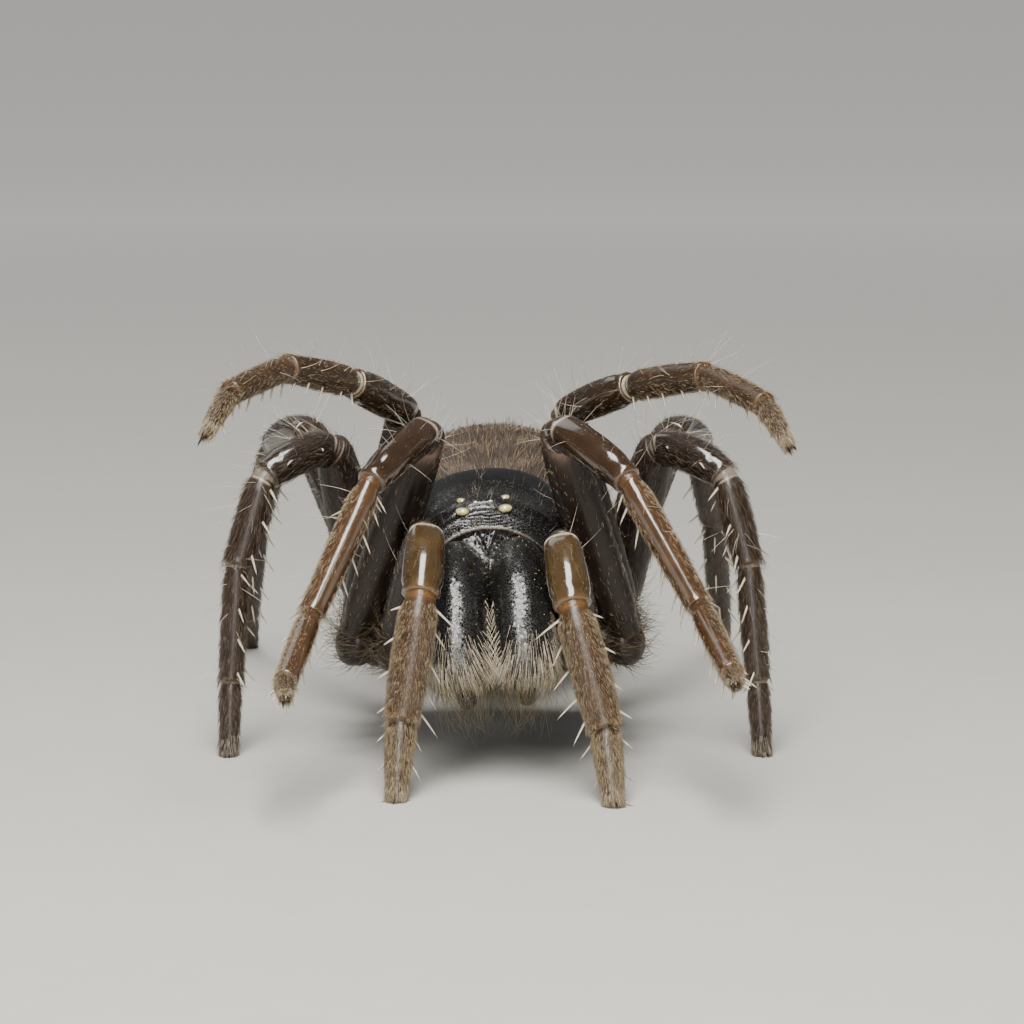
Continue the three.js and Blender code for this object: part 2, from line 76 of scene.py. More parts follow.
# Each limb: the root of its coxa, its hip, the half-widths of its coxa at root and end and their swell,
# and each joint's length, half-widths and depth over width
LIMBS = {
    "palp": {
        "inner": (0.62, 1.55, 2.6), "hip": (2.4, 0.1, 2.72), "coxa": (0.42, 0.5, 0.05),
        "joints": {
            "femur": (3.7, (0.34, 0.4, 0.05), 1.22),
            "patella": (1.9, (0.42, 0.47, 0.05), 1.0),
            "tibia": (2.9, (0.43, 0.4, 0.05), 1.05),
            "tarsus": (2.1, (0.36, 0.19, 0.02), 1.0),
        },
    },
    "leg1": {
        "inner": (1.32, 2.35, 2.6), "hip": (3.4, 1.0, 2.75), "coxa": (0.4, 0.52, 0.08),
        "joints": {
            "femur": (5.8, (0.42, 0.42, 0.12), 1.18),
            "patella": (2.8, (0.38, 0.38, 0.05), 1.05),
            "tibia": (3.4, (0.33, 0.3, 0.02), 1.05),
            "metatarsus": (2.9, (0.27, 0.26, 0.02), 1.0),
            "tarsus": (1.65, (0.24, 0.12, 0.02), 1.0),
        },
    },
    "leg2": {
        "inner": (1.5, 3.25, 2.6), "hip": (3.4, 2.65, 2.95), "coxa": (0.4, 0.52, 0.06),
        "joints": {
            "femur": (5.75, (0.38, 0.4, 0.06), 1.15),
            "patella": (2.5, (0.36, 0.37, 0.05), 1.05),
            "tibia": (2.9, (0.34, 0.31, 0.02), 1.05),
            "metatarsus": (2.8, (0.28, 0.27, 0.02), 1.0),
            "tarsus": (1.75, (0.24, 0.12, 0.02), 1.0),
        },
    },
    "leg3": {
        "inner": (1.45, 4.15, 2.6), "hip": (3.2, 4.4, 2.95), "coxa": (0.4, 0.52, 0.06),
        "joints": {
            "femur": (4.55, (0.4, 0.42, 0.12), 1.15),
            "patella": (2.0, (0.38, 0.4, 0.06), 1.0),
            "tibia": (2.25, (0.36, 0.34, 0.03), 1.0),
            "metatarsus": (2.85, (0.3, 0.28, 0.02), 1.0),
            "tarsus": (1.95, (0.26, 0.18, 0.02), 1.0),
        },
    },
    "leg4": {
        "inner": (1.12, 5.05, 2.6), "hip": (2.75, 6.15, 3.0), "coxa": (0.4, 0.54, 0.08),
        "joints": {
            "femur": (5.0, (0.42, 0.44, 0.12), 1.18),
            "patella": (2.4, (0.4, 0.42, 0.05), 1.0),
            "tibia": (3.4, (0.37, 0.34, 0.03), 1.0),
            "metatarsus": (3.7, (0.3, 0.28, 0.02), 1.0),
            "tarsus": (1.95, (0.26, 0.18, 0.02), 1.0),
        },
    },
}

# The pose: each joint's heading outwards from straight ahead and its climb, in degrees. A last joint
# with no climb comes down to the floor.
POSE = {
    "palp": {
        "left": [(-16, 49.5), (8, -37), (52, -71), (11, None)],
        "right": [(-23, 54), (2, -36), (42, -77), (9, None)],
    },
    "leg1": {
        "left": [(-47, 66), (36, -17), (60, -56), (14, -23), (0, 2)],
        "right": [(-50, 65), (28, -17), (53, -60), (10, -22), (-3, -3)],
    },
    "leg2": {
        "left": [(-46, 69), (39, 21), (36, 10), (26, -8), (18, -27)],
        "right": [(-41, 70), (30, 23), (31, 12), (24, -6), (18, -27)],
    },
    "leg3": {
        "left": [(40, 70), (51, -15), (56, -71), (34, -82), (14, None)],
        "right": [(30, 70), (51, -15), (63, -70), (27, -83), (7, None)],
    },
    "leg4": {
        "left": [(144, 50), (160, -10), (168, -44), (172, -53), (176, None)],
        "right": [(141, 51), (156, -12), (165, -43), (170, -53), (178, None)],
    },
}
SIDES = {"left": 1, "right": -1}

# The carapace: heights of its base and margin, and along it its half-width and the height of its crown
CARAPACE_BASE = 3.4
CARAPACE_MARGIN = 3.95
CARAPACE_ROWS = np.array([
    (0.0, 1.72, 5.7), (0.15, 1.86, 6.02), (0.35, 2.0, 6.25), (0.9, 2.2, 6.44),
    (1.9, 2.38, 6.75), (2.9, 2.68, 6.8), (3.9, 2.86, 6.3), (4.6, 2.84, 5.7),
    (5.5, 2.5, 5.4), (6.2, 1.86, 4.95), (6.6, 1.1, 4.45),
])

# Its relief. A brow is its rise, its place along the head and its half-length.
GROOVE = {"depth": 0.09, "half_width": 0.24}
RAYS = {"depth": 0.04, "half_width": 0.16, "slopes": (-0.45, 0.2, 1.05)}
PIT = {"depth": 0.3, "y": 4.55, "half_length": 0.13, "half_width": 0.5}
WRINKLES = {"spacing": 0.072, "depth": 0.016, "half_width": 1.1}
BROWS = ((0.11, 0.31, 0.09), (0.065, 0.155, 0.04))
LIP = {"rise": 0.05, "y": 0.02, "half_length": 0.07}

# Each eye's place and radius, its half-sizes over that radius, and the mound that the eyes stand on
EYES = {
    "anterior_median": (0.17, 0.225, 6.34, 0.058),
    "anterior_lateral": (0.5, 0.17, 6.14, 0.172),
    "posterior_lateral": (0.5, 0.54, 6.345, 0.13),
    "posterior_median": (0.3, 0.86, 6.365, 0.085),
}
EYE_SHAPE = np.array((1.12, 0.9, 0.72))
EYE_MOUND = {"y": 0.38, "half_width": 0.8, "half_length": 0.36, "rise": 0.15}

# Jaws, fangs and breastplate
JAW = {"x": 0.72, "spread": 0.07, "z": 4.46, "reach": 2.05, "drop": 2.3, "half_width": 0.695,
       "half_height": 1.02, "swell": 0.2}
FANG = {"radius": 0.26, "back": 0.42, "down": 0.3, "length": 1.9, "lift": 0.3}
STERNUM = {"y": 3.65, "z": 2.55, "half_width": 1.1, "half_length": 1.6, "half_height": 0.62}

# Waist, abdomen, and each spinneret's place across and up, length, radius and number of joints
PEDICEL = {"from": 6.5, "to": 7.3, "z": 4.15, "radius": 0.42}
ABDOMEN = {"y": 11.45, "z": 4.1, "half_width": 3.25, "half_length": 4.5, "half_height": 2.7}
SPINNERETS = {
    "long": (0.52, 3.35, 2.0, 0.3, 3),
    "median": (0.24, 2.82, 0.75, 0.2, 1),
}

# Colours, as linear red, green and blue
BLACK = np.array((0.006, 0.0055, 0.005))
DARK = np.array((0.015, 0.009, 0.0065))
BROWN = np.array((0.046, 0.022, 0.0085))
AMBER = np.array((0.052, 0.03, 0.01))
ORANGE = np.array((0.17, 0.086, 0.028))
SOFT = np.array((0.06, 0.04, 0.03))
CREAM = np.array((0.55, 0.46, 0.34))
FLESH = np.array((0.36, 0.25, 0.19))
DUST = np.array((0.5, 0.4, 0.18))
EYE_GOLD = np.array((0.5, 0.43, 0.2))
# The next grey, in the middle of the dark median eyes, is a painted highlight for the glint on their lenses.
EYE_GREY_PAINTED_HIGHLIGHT = np.array((0.6, 0.58, 0.5))
# The next dark is the median eyes' own colour, and on the gold lateral eyes it is painted shade towards the
# rim.
EYE_RIM_AND_PAINTED_SHADE = np.array((0.022, 0.017, 0.009))
PALE_HAIR = np.array((0.56, 0.5, 0.39))
BUFF_HAIR = np.array((0.26, 0.2, 0.145))
PINK_HAIR = np.array((0.34, 0.26, 0.18))
TAWNY_HAIR = np.array((0.46, 0.35, 0.2))
GOLD_HAIR = np.array((0.22, 0.165, 0.06))
DARK_HAIR = np.array((0.04, 0.028, 0.021))


def rolled(points):
    """Body points after its lean to one side."""
    points = np.asarray(points, float)
    x, y, z = points[..., 0], points[..., 1], points[..., 2] - ROLL_HEIGHT
    c, s = math.cos(BODY_ROLL), math.sin(BODY_ROLL)
    return np.stack((x * c + z * s, y, z * c - x * s + ROLL_HEIGHT), axis=-1)


def unit(v):
    return v / np.maximum(np.linalg.norm(v, axis=-1, keepdims=True), 1e-12)


def box_centre(node):
    low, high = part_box(node)
    return (np.array(low) + np.array(high)) / 2 / MM


def smooth(low, high, value):
    share = np.clip((value - low) / (high - low), 0, 1)
    return share * share * (3 - 2 * share)


def hump(centre, width, value):
    return np.exp(-(((value - centre) / width) ** 2))


def upness(a):
    """1 on top of a tube and -1 below, for places round it from 0 to 1."""
    return np.cos(a * TAU)


def between(low, high, t):
    return (t > low) * (t < high)


def cover(low=0.04, high=0.97, above=-2):
    """Hair between two places along a tube, and only where the tube's upness is above a limit."""
    return lambda t, a: between(low, high, t) * (upness(a) > above)


def from_top(a):
    """Places round a tube, counted from its top, from -0.5 to 0.5."""
    return (a + 0.5) % 1 - 0.5


# Where the solids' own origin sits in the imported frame
SHIFT = box_centre("eye_anterior_lateral_left") - rolled(EYES["anterior_lateral"][:3])


class Surface:
    """A closed tube of points, with rows along it and columns round it, and the lie of its hair."""

    def __init__(self, points, tile):
        self.points = points
        self.tile = tile
        along = np.gradient(points, axis=0)
        around = np.roll(points, -1, axis=1) - np.roll(points, 1, axis=1)
        normal = np.cross(around, along)
        outward = points - points.mean(axis=1, keepdims=True)
        if (normal * outward).sum() < 0:
            normal = -normal
        self.normals = unit(normal)
        self.lies = unit(along)
        self.areas = np.linalg.norm(along, axis=-1) * np.linalg.norm(around, axis=-1) / 2

    def uv(self, t, a):
        """A place on the unwrap: one tile of an eight by eight sheet for each tube."""
        column, row = self.tile % 8, self.tile // 8
        return np.stack(((column + 0.04 + 0.92 * a) / 8, (row + 0.04 + 0.92 * t) / 8), axis=-1)

    def pick(self, count, density):
        """Places spread by area and by density(t, a), where t runs along and a goes round from 0 to 1."""
        rows, columns = self.areas.shape
        t = np.arange(rows) / (rows - 1)
        a = np.arange(columns) / columns
        weight = self.areas * density(t[:, None], a[None, :])
        total = weight.ravel().cumsum()
        cell = np.searchsorted(total, RNG.random(count) * total[-1])
        row, column = cell // columns, cell % columns
        row = np.clip(row + RNG.random(count) - 0.5, 0, rows - 1.001)
        column = (column + RNG.random(count) - 0.5) % columns
        return self.at(row / (rows - 1), column / columns)

    def at(self, t, a):
        """Point, normal, lie, t and a at places on the tube."""
        rows, columns, _ = self.points.shape
        row = np.clip(t, 0, 1) * (rows - 1)
        r0 = np.minimum(row.astype(int), rows - 2)
        fr = (row - r0)[..., None]
        column = (a % 1) * columns
        c0 = column.astype(int) % columns
        c1 = (c0 + 1) % columns
        fc = (column - np.floor(column))[..., None]

        def mix(grid):
            low = grid[r0, c0] * (1 - fc) + grid[r0, c1] * fc
            high = grid[r0 + 1, c0] * (1 - fc) + grid[r0 + 1, c1] * fc
            return low * (1 - fr) + high * fr

        return mix(self.points), unit(mix(self.normals)), unit(mix(self.lies)), t, a


class Piece:
    """A mesh in the making: points, faces, colours and a place on the unwrap for each corner."""

    def __init__(self, name, materials):
        self.name = name
        self.materials = materials
        self.points, self.tones, self.corners, self.sizes = [], [], [], []
        self.uvs, self.slots = [], []
        self.count = 0

    def add(self, points, faces, tones, uvs, slot=0):
        """faces is an array of point numbers, one row a face. uvs has one pair a corner."""
        self.points.append(points)
        self.tones.append(np.broadcast_to(tones, points.shape))
        self.corners.append((faces + self.count).ravel())
        self.sizes.append(np.full(len(faces), faces.shape[1]))
        self.uvs.append(uvs.reshape(-1, 2))
        self.slots.append(np.broadcast_to(slot, len(faces)))
        self.count += len(points)

    def add_surface(self, surface, tone, slot=0):
        """A tube's faces. tone is a colour or a function of t and a, and slot a number or a function of t."""
        rows, columns, _ = surface.points.shape
        t = np.repeat(np.arange(rows) / (rows - 1), columns)
        a = np.tile(np.arange(columns) / columns, rows)
        tones = tone(t, a) if callable(tone) else tone
        r, c = np.meshgrid(np.arange(rows - 1), np.arange(columns), indexing="ij")
        r, c = r.ravel(), c.ravel()
        n = (c + 1) % columns
        near, far = r * columns, (r + 1) * columns
        faces = np.stack((near + c, near + n, far + n, far + c), axis=1)
        a0, a1, t0, t1 = c / columns, (c + 1) / columns, r / (rows - 1), (r + 1) / (rows - 1)
        uvs = np.stack([surface.uv(*place) for place in ((t0, a0), (t0, a1), (t1, a1), (t1, a0))], axis=1)
        first = surface.points.reshape(-1, 3)[faces[len(faces) // 2]]
        facing = np.cross(first[1] - first[0], first[3] - first[0])
        normal = surface.normals.reshape(-1, 3)[faces[len(faces) // 2, 0]]
        if facing @ normal < 0:
            faces, uvs = faces[:, ::-1], uvs[:, ::-1]
        self.add(surface.points.reshape(-1, 3), faces, tones, uvs, slot(t0) if callable(slot) else slot)

    def build(self, nodes=()):
        """The finished piece, fixed to the model, with the nodes it takes the place of."""
        points = np.concatenate(self.points)
        points[:, 2] = np.maximum(points[:, 2], 0.0)
        points = (points + SHIFT) * MM
        corners = np.concatenate(self.corners)
        sizes = np.concatenate(self.sizes)
        mesh = bpy.data.meshes.new(self.name)
        mesh.vertices.add(len(points))
        mesh.vertices.foreach_set("co", points.ravel())
        mesh.loops.add(len(corners))
        mesh.loops.foreach_set("vertex_index", corners)
        mesh.polygons.add(len(sizes))
        mesh.polygons.foreach_set("loop_start", np.concatenate(([0], sizes.cumsum()[:-1])))
        mesh.polygons.foreach_set("material_index", np.concatenate(self.slots))
        mesh.polygons.foreach_set("use_smooth", np.ones(len(sizes), bool))
        layer = mesh.uv_layers.new(name="OFBake")
        layer.data.foreach_set("uv", np.concatenate(self.uvs).ravel())
        colours = mesh.color_attributes.new("tone", "FLOAT_COLOR", "POINT")
        tones = np.concatenate(self.tones)
        tones = np.concatenate((tones, np.ones((len(tones), 1))), axis=1)
        colours.data.foreach_set("color", tones.ravel())
        for material in self.materials:
            mesh.materials.append(material)
        mesh.update(calc_edges=True)
        mesh.validate()
        piece = bpy.data.objects.new(self.name, mesh)
        bpy.context.scene.collection.objects.link(piece)
        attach(piece, "root")
        if nodes:
            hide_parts(*nodes)


def room_for(roots, ways):
    """How far a hair may reach from its root before it stands out of the solids' box."""
    low = np.array(CAD_BOX[0]) / MM - SHIFT - OVERHANG
    high = np.array(CAD_BOX[1]) / MM - SHIFT + OVERHANG
    steps = np.where(np.abs(ways) < 1e-6, 1e-6, ways)
    return np.where(steps > 0, (high - roots) / steps, (low - roots) / steps).min(axis=-1)


def hair_faces(sections):
    """The faces of one hair, which has three sides and ends in a point."""
    faces = []
    for s in range(sections - 1):
        for k in range(3):
            a, b = 3 * s + k, 3 * s + (k + 1) % 3
            faces += [(a, b, b + 3), (a, b + 3, a + 3)]
    last, tip = 3 * sections - 3, 3 * sections
    faces += [(last + k, last + (k + 1) % 3, tip) for k in range(3)]
    return np.array(faces)


def hair_patch(sections, size=0.0015):
    """One hair's own small patch of the unwrap, round the place of its root."""
    ring = np.array([(math.cos(TAU * k / 3), math.sin(TAU * k / 3)) for k in range(3)])
    return np.concatenate([ring * size * (1 - s / sections * 0.6) for s in range(sections)] + [[(0, 0)]])


def add_hairs(piece, spots, uvs, length, width, lean, tone, splay=0.2, bend=(0, 0, 0), curl=0.0, wave=0.0,
              sections=3, sink=0.02):
    """Fine tapering hairs. lean is the angle out of the skin, curl bends each one along its lie, and wave
    makes it wind from side to side by that share of its length."""
    roots, normals, lies = spots[:3]
    count = len(roots)
    sideways = unit(np.cross(normals, lies))
    turn = (RNG.normal(0, 1, count) * splay)[:, None]
    lean = (lean + RNG.normal(0, 0.08, count))[:, None]
    flat = lies * np.cos(turn) + sideways * np.sin(turn)
    way = unit(flat * np.cos(lean) + normals * np.sin(lean))
    length = np.minimum(length, np.maximum(room_for(roots, way), SHORTEST_HAIR))[:, None]
    curve = np.asarray(bend) + flat * curl - normals * curl * 0.6
    across = unit(np.cross(way, sideways + 0.01 * way))
    other = np.cross(way, across)
    swing = sideways * RNG.normal(0, wave, (count, 1)) + normals * RNG.normal(0, wave, (count, 1))
    phase = RNG.uniform(0, TAU, count)[:, None]
    rings = []
    for share in np.arange(sections + 1) / sections:
        centre = roots - normals * sink * (1 - share)
        centre = centre + way * (length * share) + curve * (length * share**2)
        centre = centre + swing * (length * share * np.sin(share * 5 + phase))
        if share == 1:
            rings.append(centre)
            break
        radius = width / 2 * (1 - 0.75 * share**1.5)
        for angle in (0, TAU / 3, TAU * 2 / 3):
            rings.append(centre + (across * math.cos(angle) + other * math.sin(angle)) * radius)
    points = np.stack(rings, axis=1)
    per_hair = points.shape[1]
    faces = (hair_faces(sections)[None] + (np.arange(count) * per_hair)[:, None, None]).reshape(-1, 3)
    corners = (uvs[:, None, :] + hair_patch(sections)[None]).reshape(-1, 2)[faces]
    tones = np.repeat(np.broadcast_to(tone, (count, 3)), per_hair, axis=0)
    piece.add(points.reshape(-1, 3), faces, tones, corners)


def grow(piece, surface, count, density, length, tone, width, lean, **shape):
    """Hairs over a tube, spread by density(t, a)."""
    spots = surface.pick(count, density)
    lengths = length * RNG.uniform(0.75, 1.2, count)
    add_hairs(piece, spots, surface.uv(*spots[3:]), lengths, width, lean, mix_tones(tone, count), **shape)


def mix_tones(tone, count):
    """One colour a hair, drawn between the two given and a little lighter or darker."""
    tone = np.atleast_2d(tone)
    share = RNG.random((count, 1))
    return (tone[0] * share + tone[-1] * (1 - share)) * RNG.uniform(0.75, 1.25, (count, 1))


# Materials

class Material:
    """A material on its Principled shader, with short ways to add nodes. Textures lie on the object."""

    def __init__(self, name):
        self.result = bpy.data.materials.new(name)
        self.result.use_nodes = True
        self.nodes, self.links = self.result.node_tree.nodes, self.result.node_tree.links
        self.shader = self.nodes["Principled BSDF"]

    def put(self, values, node=None):
        """Sets inputs of a node, or of the shader, each to a value or to another node's output."""
        for name, value in values.items():
            socket = (node or self.shader).inputs[name]
            if isinstance(value, bpy.types.NodeSocket):
                self.links.new(value, socket)
            else:
                socket.default_value = value

    def add(self, kind, values, **settings):
        """A new node's outputs."""
        node = self.nodes.new("ShaderNode" + kind)
        for name, value in settings.items():
            setattr(node, name, value)
        self.put(values, node)
        return node.outputs

    def texture(self, kind, scale, detail=4.0, **settings):
        """A procedural texture whose features are 1 / scale metres across."""
        place = self.add("TexCoord", {})["Object"]
        return self.add(kind, {"Vector": place, "Scale": scale, "Detail": detail}, **settings)

    def noise(self, scale, detail):
        return self.texture("TexNoise", scale, detail)["Fac"]

    def ramp(self, source, low, high, start=0.0, end=1.0):
        """A value carried from the range low to high over to the range start to end."""
        limits = {"From Min": low, "From Max": high, "To Min": start, "To Max": end}
        return self.add("MapRange", {"Value": source, **limits})["Result"]

    def mix(self, share, first, second):
        """Two colours mixed. The mix node's colour sockets have no names of their own."""
        return self.add("Mix", {0: share, 6: first, 7: second}, data_type="RGBA")[2]

    def bump(self, height, distance, under=None):
        values = {"Height": height, "Distance": distance}
        if under:
            values["Normal"] = under
        return self.add("Bump", values)["Normal"]

    def vector(self, operation, values):
        return self.add("VectorMath", values, operation=operation)["Vector"]

    def toned(self, shade):
        """The mesh's own colours, made lighter and darker by shade."""
        tone = self.add("Attribute", {}, attribute_name="tone")["Color"]
        return self.vector("SCALE", {0: tone, "Scale": shade})

    def tilted(self, cells, amount):
        """A normal that leans its own way on each cell of a pattern, so that cells glint apart."""
        lean = self.vector("SUBTRACT", {0: cells["Color"], 1: (0.5, 0.5, 0.5)})
        lean = self.vector("SCALE", {0: lean, "Scale": amount})
        straight = self.add("NewGeometry", {})["Normal"]
        return self.vector("NORMALIZE", {0: self.vector("ADD", {0: straight, 1: lean})})

    def glow_through(self, share, radius):
        """Some light passes through the skin, red the furthest."""
        self.put({"Subsurface Weight": share, "Subsurface Scale": 0.0002, "Subsurface Radius": radius})


def cuticle(name, roughness, grain, grain_depth, specks, mottle=0.35, coat=0.0, through=0.0, tilt=0.0,
            shine=0.5):
    """Hard skin: toned by the mesh, mottled, with a fine scaly grain and pale specks. tilt makes each scale
    of the grain lean its own way, with dull cracks between them."""
    m = Material(name)
    cloud = m.noise(2500, 5)
    colour = m.toned(m.ramp(cloud, 0.3, 0.7, 1 - mottle, 1 + mottle))
    dots = m.texture("TexVoronoi", 6200)
    chosen = m.add("SeparateColor", {"Color": dots["Color"]})["Red"]
    speck = {0: m.ramp(dots["Distance"], 0.06, 0.1, 1, 0), 1: m.ramp(chosen, 1 - specks, 1 - specks + 0.02)}
    speck = m.add("Math", speck, operation="MULTIPLY")["Value"]
    scales = m.texture("TexVoronoi", grain)
    if tilt:
        normal = m.tilted(scales, tilt)
        cracks = m.texture("TexVoronoi", grain, feature="DISTANCE_TO_EDGE")["Distance"]
        wear = m.ramp(cracks, 0.025, 0.08, 0.45, roughness)
    else:
        normal = None
        wear = m.ramp(cloud, 0.25, 0.75, roughness * 0.8, roughness * 1.3)
    normal = m.bump(m.noise(grain * 0.35, 6), grain_depth * 0.8, normal)
    normal = m.bump(m.ramp(scales["Distance"], 0.0, 0.75, 1, 0), grain_depth, normal)
    m.put({"Base Color": m.mix(speck, colour, (0.42, 0.33, 0.16, 1)), "Normal": normal, "Roughness": wear,
           "Specular IOR Level": shine, "IOR": 1.6, "Coat Weight": coat, "Coat Roughness": 0.1})
    if through:
        m.glow_through(through, (1.0, 0.45, 0.2))
    return m.result


def soft_skin(name, roughness, wrinkle, depth, through):
    """Soft skin: toned by the mesh, finely wrinkled, with some light passing through."""
    m = Material(name)
    folds = m.noise(wrinkle, 6)
    # The colour follows the wrinkles' height, darker in their hollows: painted shade.
    m.put({"Base Color": m.toned(m.ramp(folds, 0.3, 0.7, 0.75, 1.2)), "Normal": m.bump(folds, depth),
           "Roughness": m.ramp(folds, 0.2, 0.8, roughness * 1.2, roughness * 0.8)})
    m.glow_through(through, (1.0, 0.5, 0.25))
    return m.result


def clouded(name, lightest, values):
    """Hair or an eye: toned by the mesh, with fine lighter and darker clouds."""
    m = Material(name)
    shade = m.ramp(m.noise(9000, 3), 0.3, 0.7, 0.8, lightest)
    m.put({"Base Color": m.toned(shade), **values})
    return m.result


BLACK_CUTICLE = cuticle("black_cuticle", 0.09, 14500, 0.000003, 0.45, tilt=0.17, shine=0.6)
FEMUR_CUTICLE = cuticle("femur_cuticle", 0.32, 11000, 0.000012, 0.5, shine=0.3)
LIMB_CUTICLE = cuticle("limb_cuticle", 0.16, 15000, 0.000004, 0.2, mottle=0.25, coat=1.0, through=0.2)
HAIRY_CUTICLE = cuticle("hairy_cuticle", 0.33, 15000, 0.000006, 0.1, mottle=0.3)
MEMBRANE = soft_skin("joint_membrane", 0.3, 12000, 0.000012, 0.4)
WET_FOLD = cuticle("wet_fold", 0.07, 9000, 0.000004, 0.0, tilt=0.35, shine=0.5)
DOME_CUTICLE = cuticle("dome_cuticle", 0.13, 14500, 0.000003, 0.3, tilt=0.1, shine=0.22)
ABDOMEN_SKIN = soft_skin("abdomen_skin", 0.5, 4200, 0.00004, 0.15)
HAIR = clouded("hair", 1.2, {"Roughness": 0.4, "Specular IOR Level": 0.6})
SPINE = clouded("spine", 1.2, {"Roughness": 0.25, "Specular IOR Level": 0.6})
WET_LENS = {"Roughness": 0.2, "IOR": 1.8, "Coat Weight": 1.0, "Coat Roughness": 0.03}
GOLD_LENS = clouded("gold_lens", 1.4, WET_LENS)
DARK_LENS = clouded("dark_lens", 1.4, WET_LENS)


# Limbs

def heading(turn, climb, sign):
    """The direction of a joint from its angles in degrees."""
    turn, climb = math.radians(turn), math.radians(climb)
    level = math.cos(climb)
    return np.array((sign * math.sin(turn) * level, -math.cos(turn) * level, math.sin(climb)))


def joint_points(limb, pose, sign):
    """The places of a limb's joints, from its hip to its tip."""
    points = [np.array(limb["hip"]) * (sign, 1, 1)]
    for (length, _, _), (turn, climb) in zip(limb["joints"].values(), pose):
        if climb is None:
            climb = -math.degrees(math.asin((points[-1][2] + FOOT_SINK) / length))
        points.append(points[-1] + heading(turn, climb, sign) * length)
    return np.array(points)


# Steps along each straight stretch of a path, and round each bend
STRAIGHT_STEPS = 24
BEND_STEPS = 16


class Path:
    """A line through the joints of a limb, straight along its shafts and round at its bends."""

    def __init__(self, points, bend_radius):
        ways = unit(np.diff(points, axis=0))
        corners = points.copy()
        reaches = np.zeros(len(points))
        for i in range(1, len(points) - 1):
            half = math.acos(np.clip(ways[i - 1] @ ways[i], -1, 1)) / 2
            spans = np.linalg.norm(points[i] - points[i - 1]), np.linalg.norm(points[i + 1] - points[i])
            reaches[i] = min(bend_radius * math.tan(half) + 0.02, 0.42 * min(spans))
            corners[i] = points[i] + (ways[i - 1] - ways[i]) * reaches[i] / 4
        ways = unit(np.diff(corners, axis=0))
        line, marks = [corners[0]], [0]
        for i in range(1, len(corners)):
            first = line[-1]
            last = corners[i] - ways[i - 1] * reaches[i]
            line += [first + (last - first) * k / STRAIGHT_STEPS for k in range(1, STRAIGHT_STEPS + 1)]
            if i < len(corners) - 1:
                far = corners[i] + ways[i] * reaches[i]
                for s in np.arange(1, BEND_STEPS + 1) / BEND_STEPS:
                    line.append(last * (1 - s) ** 2 + corners[i] * 2 * s * (1 - s) + far * s * s)
                marks.append(len(line) - 1 - BEND_STEPS // 2)
        marks.append(len(line) - 1)
        self.points = np.array(line)
        self.lengths = np.concatenate(([0], np.linalg.norm(np.diff(self.points, axis=0), axis=1).cumsum()))
        self.marks = self.lengths[marks]
        self.tangents = unit(np.gradient(self.points, self.lengths, axis=0))

    def at(self, s):
        place = np.stack([np.interp(s, self.lengths, self.points[:, k]) for k in range(3)], axis=-1)
        way = np.stack([np.interp(s, self.lengths, self.tangents[:, k]) for k in range(3)], axis=-1)
        return place, unit(way)


def shares(rows):
    """Row places from 0 to 1, closer together near both ends."""
    x = np.linspace(0, 1, rows)
    return 0.4 * x + 0.6 * (0.5 - 0.5 * np.cos(math.pi * x))


# Length of the rounded rim at an end of a tube, and its half-width there over the tube's own
RIM = 0.06
RIM_WIDTH = 0.66


def tube(path, start, end, half, hinge, front, height, tile, rows=56, columns=32, ridge=None, tip=0.0,
         bow=0.0):
    """A hard tube round a stretch of path, with rounded rims. Round it, 0 is above and 0.25 faces front.
    half(u) is its half-width, height its depth over that, ridge(u, a) its relief and tip a long round end."""
    u = shares(rows)
    length = end - start
    centre, way = path.at(start + u * length)
    across = unit(hinge - way * (way @ hinge)[:, None])
    upper = np.cross(across, way)
    centre = centre + upper * (bow * length * 4 * u * (1 - u))[:, None]
    near, far = u * length, (1 - u) * length
    closing = np.sqrt(np.clip(1 - (1 - np.clip(near / RIM, 0, 1)) ** 2, 0, 1))
    closing_far = np.sqrt(np.clip(1 - (1 - np.clip(far / (tip or RIM), 0, 1)) ** 2, 0, 1))
    far_width = 0.0 if tip else RIM_WIDTH
    factor = (RIM_WIDTH + (1 - RIM_WIDTH) * closing) * (far_width + (1 - far_width) * closing_far)
    factor[[0, -1]] = 0
    angle = TAU * np.arange(columns) / columns
    reach = (half(u) * factor)[:, None] * np.ones(columns)
    if ridge:
        reach = reach * (1 + ridge(u[:, None], (np.arange(columns) / columns)[None, :]))
    points = (
        centre[:, None]
        + upper[:, None] * (np.cos(angle)[None, :] * reach * height)[..., None]
        + (across * front)[:, None] * (np.sin(angle)[None, :] * reach)[..., None]
    )
    points[..., 2] = np.maximum(points[..., 2], 0.0)
    return Surface(points, tile)


# How much narrower each joint is at its root, and how much wider the low collar at its end
NECKS = {"femur": 0.2, "patella": 0.0, "tibia": 0.18, "metatarsus": 0.1, "tarsus": 0.08}
COLLARS = {"femur": 0.03, "patella": 0.03, "tibia": 0.05, "metatarsus": 0.05, "tarsus": 0.0}


def girth(root, end, swell, kind):
    """Half-widths along a joint: narrow at its root, fuller along it, and a low collar at its end."""
    neck, collar = NECKS[kind], COLLARS[kind]

    def half(u):
        width = root + (end - root) * u + swell * np.sin(math.pi * u)
        waist = -0.07 * smooth(0.78, 0.9, u) if kind == "patella" else 0
        return width * (1 - neck * (1 - smooth(0, 0.16, u)) + collar * hump(0.97, 0.04, u) + waist)

    return half


# How far each joint arches up along its length
BOWS = {"femur": 0.03, "patella": 0.05}


def keels(u, a):
    """The low ridges along a femur, on its upper front and back, and the flat between them."""
    fade = smooth(0.05, 0.3, u) * (1 - smooth(0.85, 0.98, u))
    ridges = sum(hump(place, 0.014, a) for place in (0.07, 0.2, 0.33, 0.8, 0.93))
    flats = sum(hump(place, 0.03, a) for place in (0.135, 0.265, 0.865))
    return fade * (0.055 * ridges - 0.035 * flats)


def knee_corners(u, a):
    """The squarer section of a knee near its root."""
    return 0.13 * (1 - smooth(0.12, 0.45, u)) * np.sin(2 * TAU * a) ** 2


RIDGES = {"femur": keels, "patella": knee_corners}


